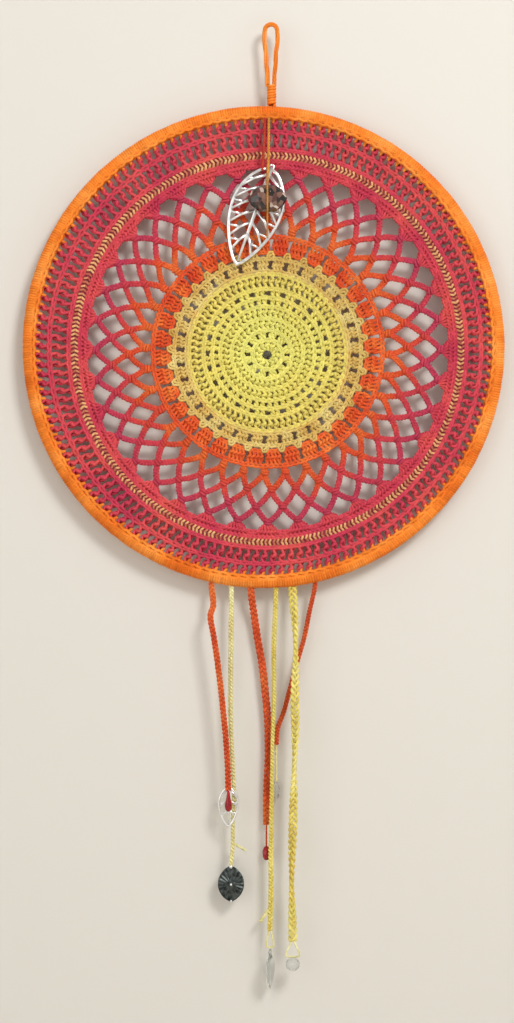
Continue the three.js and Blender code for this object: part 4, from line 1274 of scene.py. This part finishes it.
ruby = cut_bead("ruby_cut_bead", 2.6, 9.0, below(red_end, 14.6), RED_GLASS)
stands_for(ruby, "ruby", "red_glass", "ruby_bead")
crystal_bead = cut_bead("crystal_cut_bead", 2.3, 11.0, below(crimson_end, 24.6), CLEAR_GLASS)
stands_for(crystal_bead, "crystal", "clear_glass", "crystal_bead")
glass_top = below(glass_loop_top, 1.02 * GLASS_LOOP_DROP + LOOP_GAP)
glass_drop = cut_bead("glass_cut_drop", 4.6, 8.0, glass_top, CLEAR_GLASS)
stands_for(glass_drop, "glass_drop", "clear_glass", "glass_drop")

# %% [markdown]
# ## Clear leaf
# A leaf of clear glass, turned nearly edge-on, hangs by a ring from the thin yellow tape. Its two faces
# are grids that swell along the midrib and meet at a thin edge, which gives glass a real thickness to
# bend light through.

# %% Clear leaf


def clear_leaf_mesh(length, width, thick, turn_degrees, top):
    """A leaf of glass, thickest along its midrib, on a ring, turned about its own upright axis."""
    rows, columns = 22, 8
    vertices, faces = [], []
    for face in (-1, 1):
        base = len(vertices)
        for row in range(rows + 1):
            share = min(max(row / rows, 0.004), 0.996)
            half = blade_half(share, width)
            for column in range(columns + 1):
                side = 2 * column / columns - 1
                swell = thick / 2 * (1 - 0.75 * side * side) * min(1.0, 6 * share, 6 * (1 - share))
                vertices.append((half * side, face * swell, -0.9 - length * row / rows))
        for row in range(rows):
            for column in range(columns):
                a = base + row * (columns + 1) + column
                quad = (a, a + 1, a + columns + 2, a + columns + 1)
                faces.append(quad if face > 0 else quad[::-1])
    half_count = len(vertices) // 2
    border = [(row, 0) for row in range(rows + 1)] + [(rows, c) for c in range(1, columns + 1)]
    border += [(row, columns) for row in range(rows - 1, -1, -1)]
    border += [(0, c) for c in range(columns - 1, 0, -1)]
    ids = [row * (columns + 1) + column for row, column in border]
    for here, there in zip(ids, ids[1:] + ids[:1]):
        faces.append((here, there, there + half_count, here + half_count))
    ring_vertices, ring_faces = tubes([eyelet()])
    faces += [tuple(index + len(vertices) for index in face) for face in ring_faces]
    vertices += ring_vertices
    c, s = math.cos(math.radians(turn_degrees)), math.sin(math.radians(turn_degrees))
    return [(x * c - y * s + top[0], x * s + y * c + top[1], z + top[2]) for x, y, z in vertices], faces


CLEAR_LEAF_TURN_DEGREES = 65.0
clear_leaf_top = below(clear_loop_top, 13.35)
vertices, faces = clear_leaf_mesh(23.0, 13.0, 2.6, CLEAR_LEAF_TURN_DEGREES, clear_leaf_top)
clear_leaf = mesh_piece("clear_glass_leaf", vertices, faces, CLEAR_GLASS, True)
stands_for(clear_leaf, "clear_leaf", "clear_glass", "clear_leaf")

# %% [markdown]
# ## Cord lengths
# Each tape's length is measured on its path above and printed. The paths of the tapes, the pendant
# strands and the hanging loop are also scaled to metres, and the results are not kept.

# %% Cord lengths
for name, tape in tapes.items():
    path = tape_paths[name]
    metres(path)[0]
    metres(path)
    print(f"{name} tape: {length_of(path):.1f} mm")
metres(red_path)[0]
metres(red_path)
metres(gold_path)[0]
metres(gold_path)
metres(loop_path)[0]
metres(loop_path)

# %% [markdown]
# ## Stage and light
# A pale wall just behind the piece takes its shadows and is seen from the front only. A key lamp from the
# upper right and a broad fill give a plain soft light, and a third lamp lights the floor behind the wall.

# %% Stage
WALL_Y = 0.0105
FLOOR_Z = -0.68
STAGE_COLOUR = "d9d5cd"


def plane(name, corners, colour):
    mesh = bpy.data.meshes.new(name)
    mesh.from_pydata(corners, [], [(0, 1, 2, 3)])
    material, tree, shader = new_material(name)
    shader.inputs["Base Color"].default_value = linear(colour)
    shader.inputs["Roughness"].default_value = 0.9
    facing = node(tree, "ShaderNodeNewGeometry")("Backfacing")
    clear = node(tree, "ShaderNodeBsdfTransparent")()
    shown = node(tree, "ShaderNodeMixShader", {0: facing, 1: Value(tree, shader.outputs[0]), 2: clear})()
    plug(tree, tree.nodes["Material Output"].inputs["Surface"], shown)
    mesh.materials.append(material)
    made = bpy.data.objects.new(name, mesh)
    scene.collection.objects.link(made)
    return made


plane("wall", [(-2, WALL_Y, -2), (2, WALL_Y, -2), (2, WALL_Y, 2), (-2, WALL_Y, 2)], STAGE_COLOUR)
plane("floor", [(-3, -4, FLOOR_Z), (3, -4, FLOOR_Z), (3, 2, FLOOR_Z), (-3, 2, FLOOR_Z)], STAGE_COLOUR)


def lamp(name, place, target, size, power):
    light = bpy.data.lights.new(name, "AREA")
    light.size = size
    light.energy = power
    made = bpy.data.objects.new(name, light)
    made.location = place
    made.rotation_euler = (Vector(target) - Vector(place)).to_track_quat("-Z", "Y").to_euler()
    scene.collection.objects.link(made)


TARGET = (0.0, 0.0, -0.3)
lamp("key", (0.75, -1.35, 0.75), TARGET, 0.5, 20.0)
lamp("fill", (-1.4, -1.8, 0.0), TARGET, 1.6, 9.0)
lamp("back", (0.7, 1.7, 0.4), TARGET, 1.2, 14.0)
world = bpy.data.worlds.new("world")
world.use_nodes = True
background = world.node_tree.nodes["Background"]
background.inputs["Color"].default_value = (1.0, 0.98, 0.95, 1.0)
background.inputs["Strength"].default_value = 0.6
scene.world = world

# %% [markdown]
# ## Camera
# The camera looks straight at the piece, as the photograph does. A long lens keeps the hoop round, and
# the frame's height in metres at the piece sets it.

# %% Camera
CAMERA_DISTANCE = 1.2
FRAME_HEIGHT = 0.6598
camera_data = bpy.data.cameras.new("camera")
camera_data.sensor_width = 36.0
camera_data.lens = camera_data.sensor_width * CAMERA_DISTANCE / FRAME_HEIGHT
camera = bpy.data.objects.new("camera", camera_data)
camera.location = (-0.00903, -CAMERA_DISTANCE, -0.3125)
camera.rotation_euler = (math.pi / 2, 0.0, 0.0)
scene.collection.objects.link(camera)
scene.camera = camera
print(f"camera lens {camera_data.lens:.1f} mm")
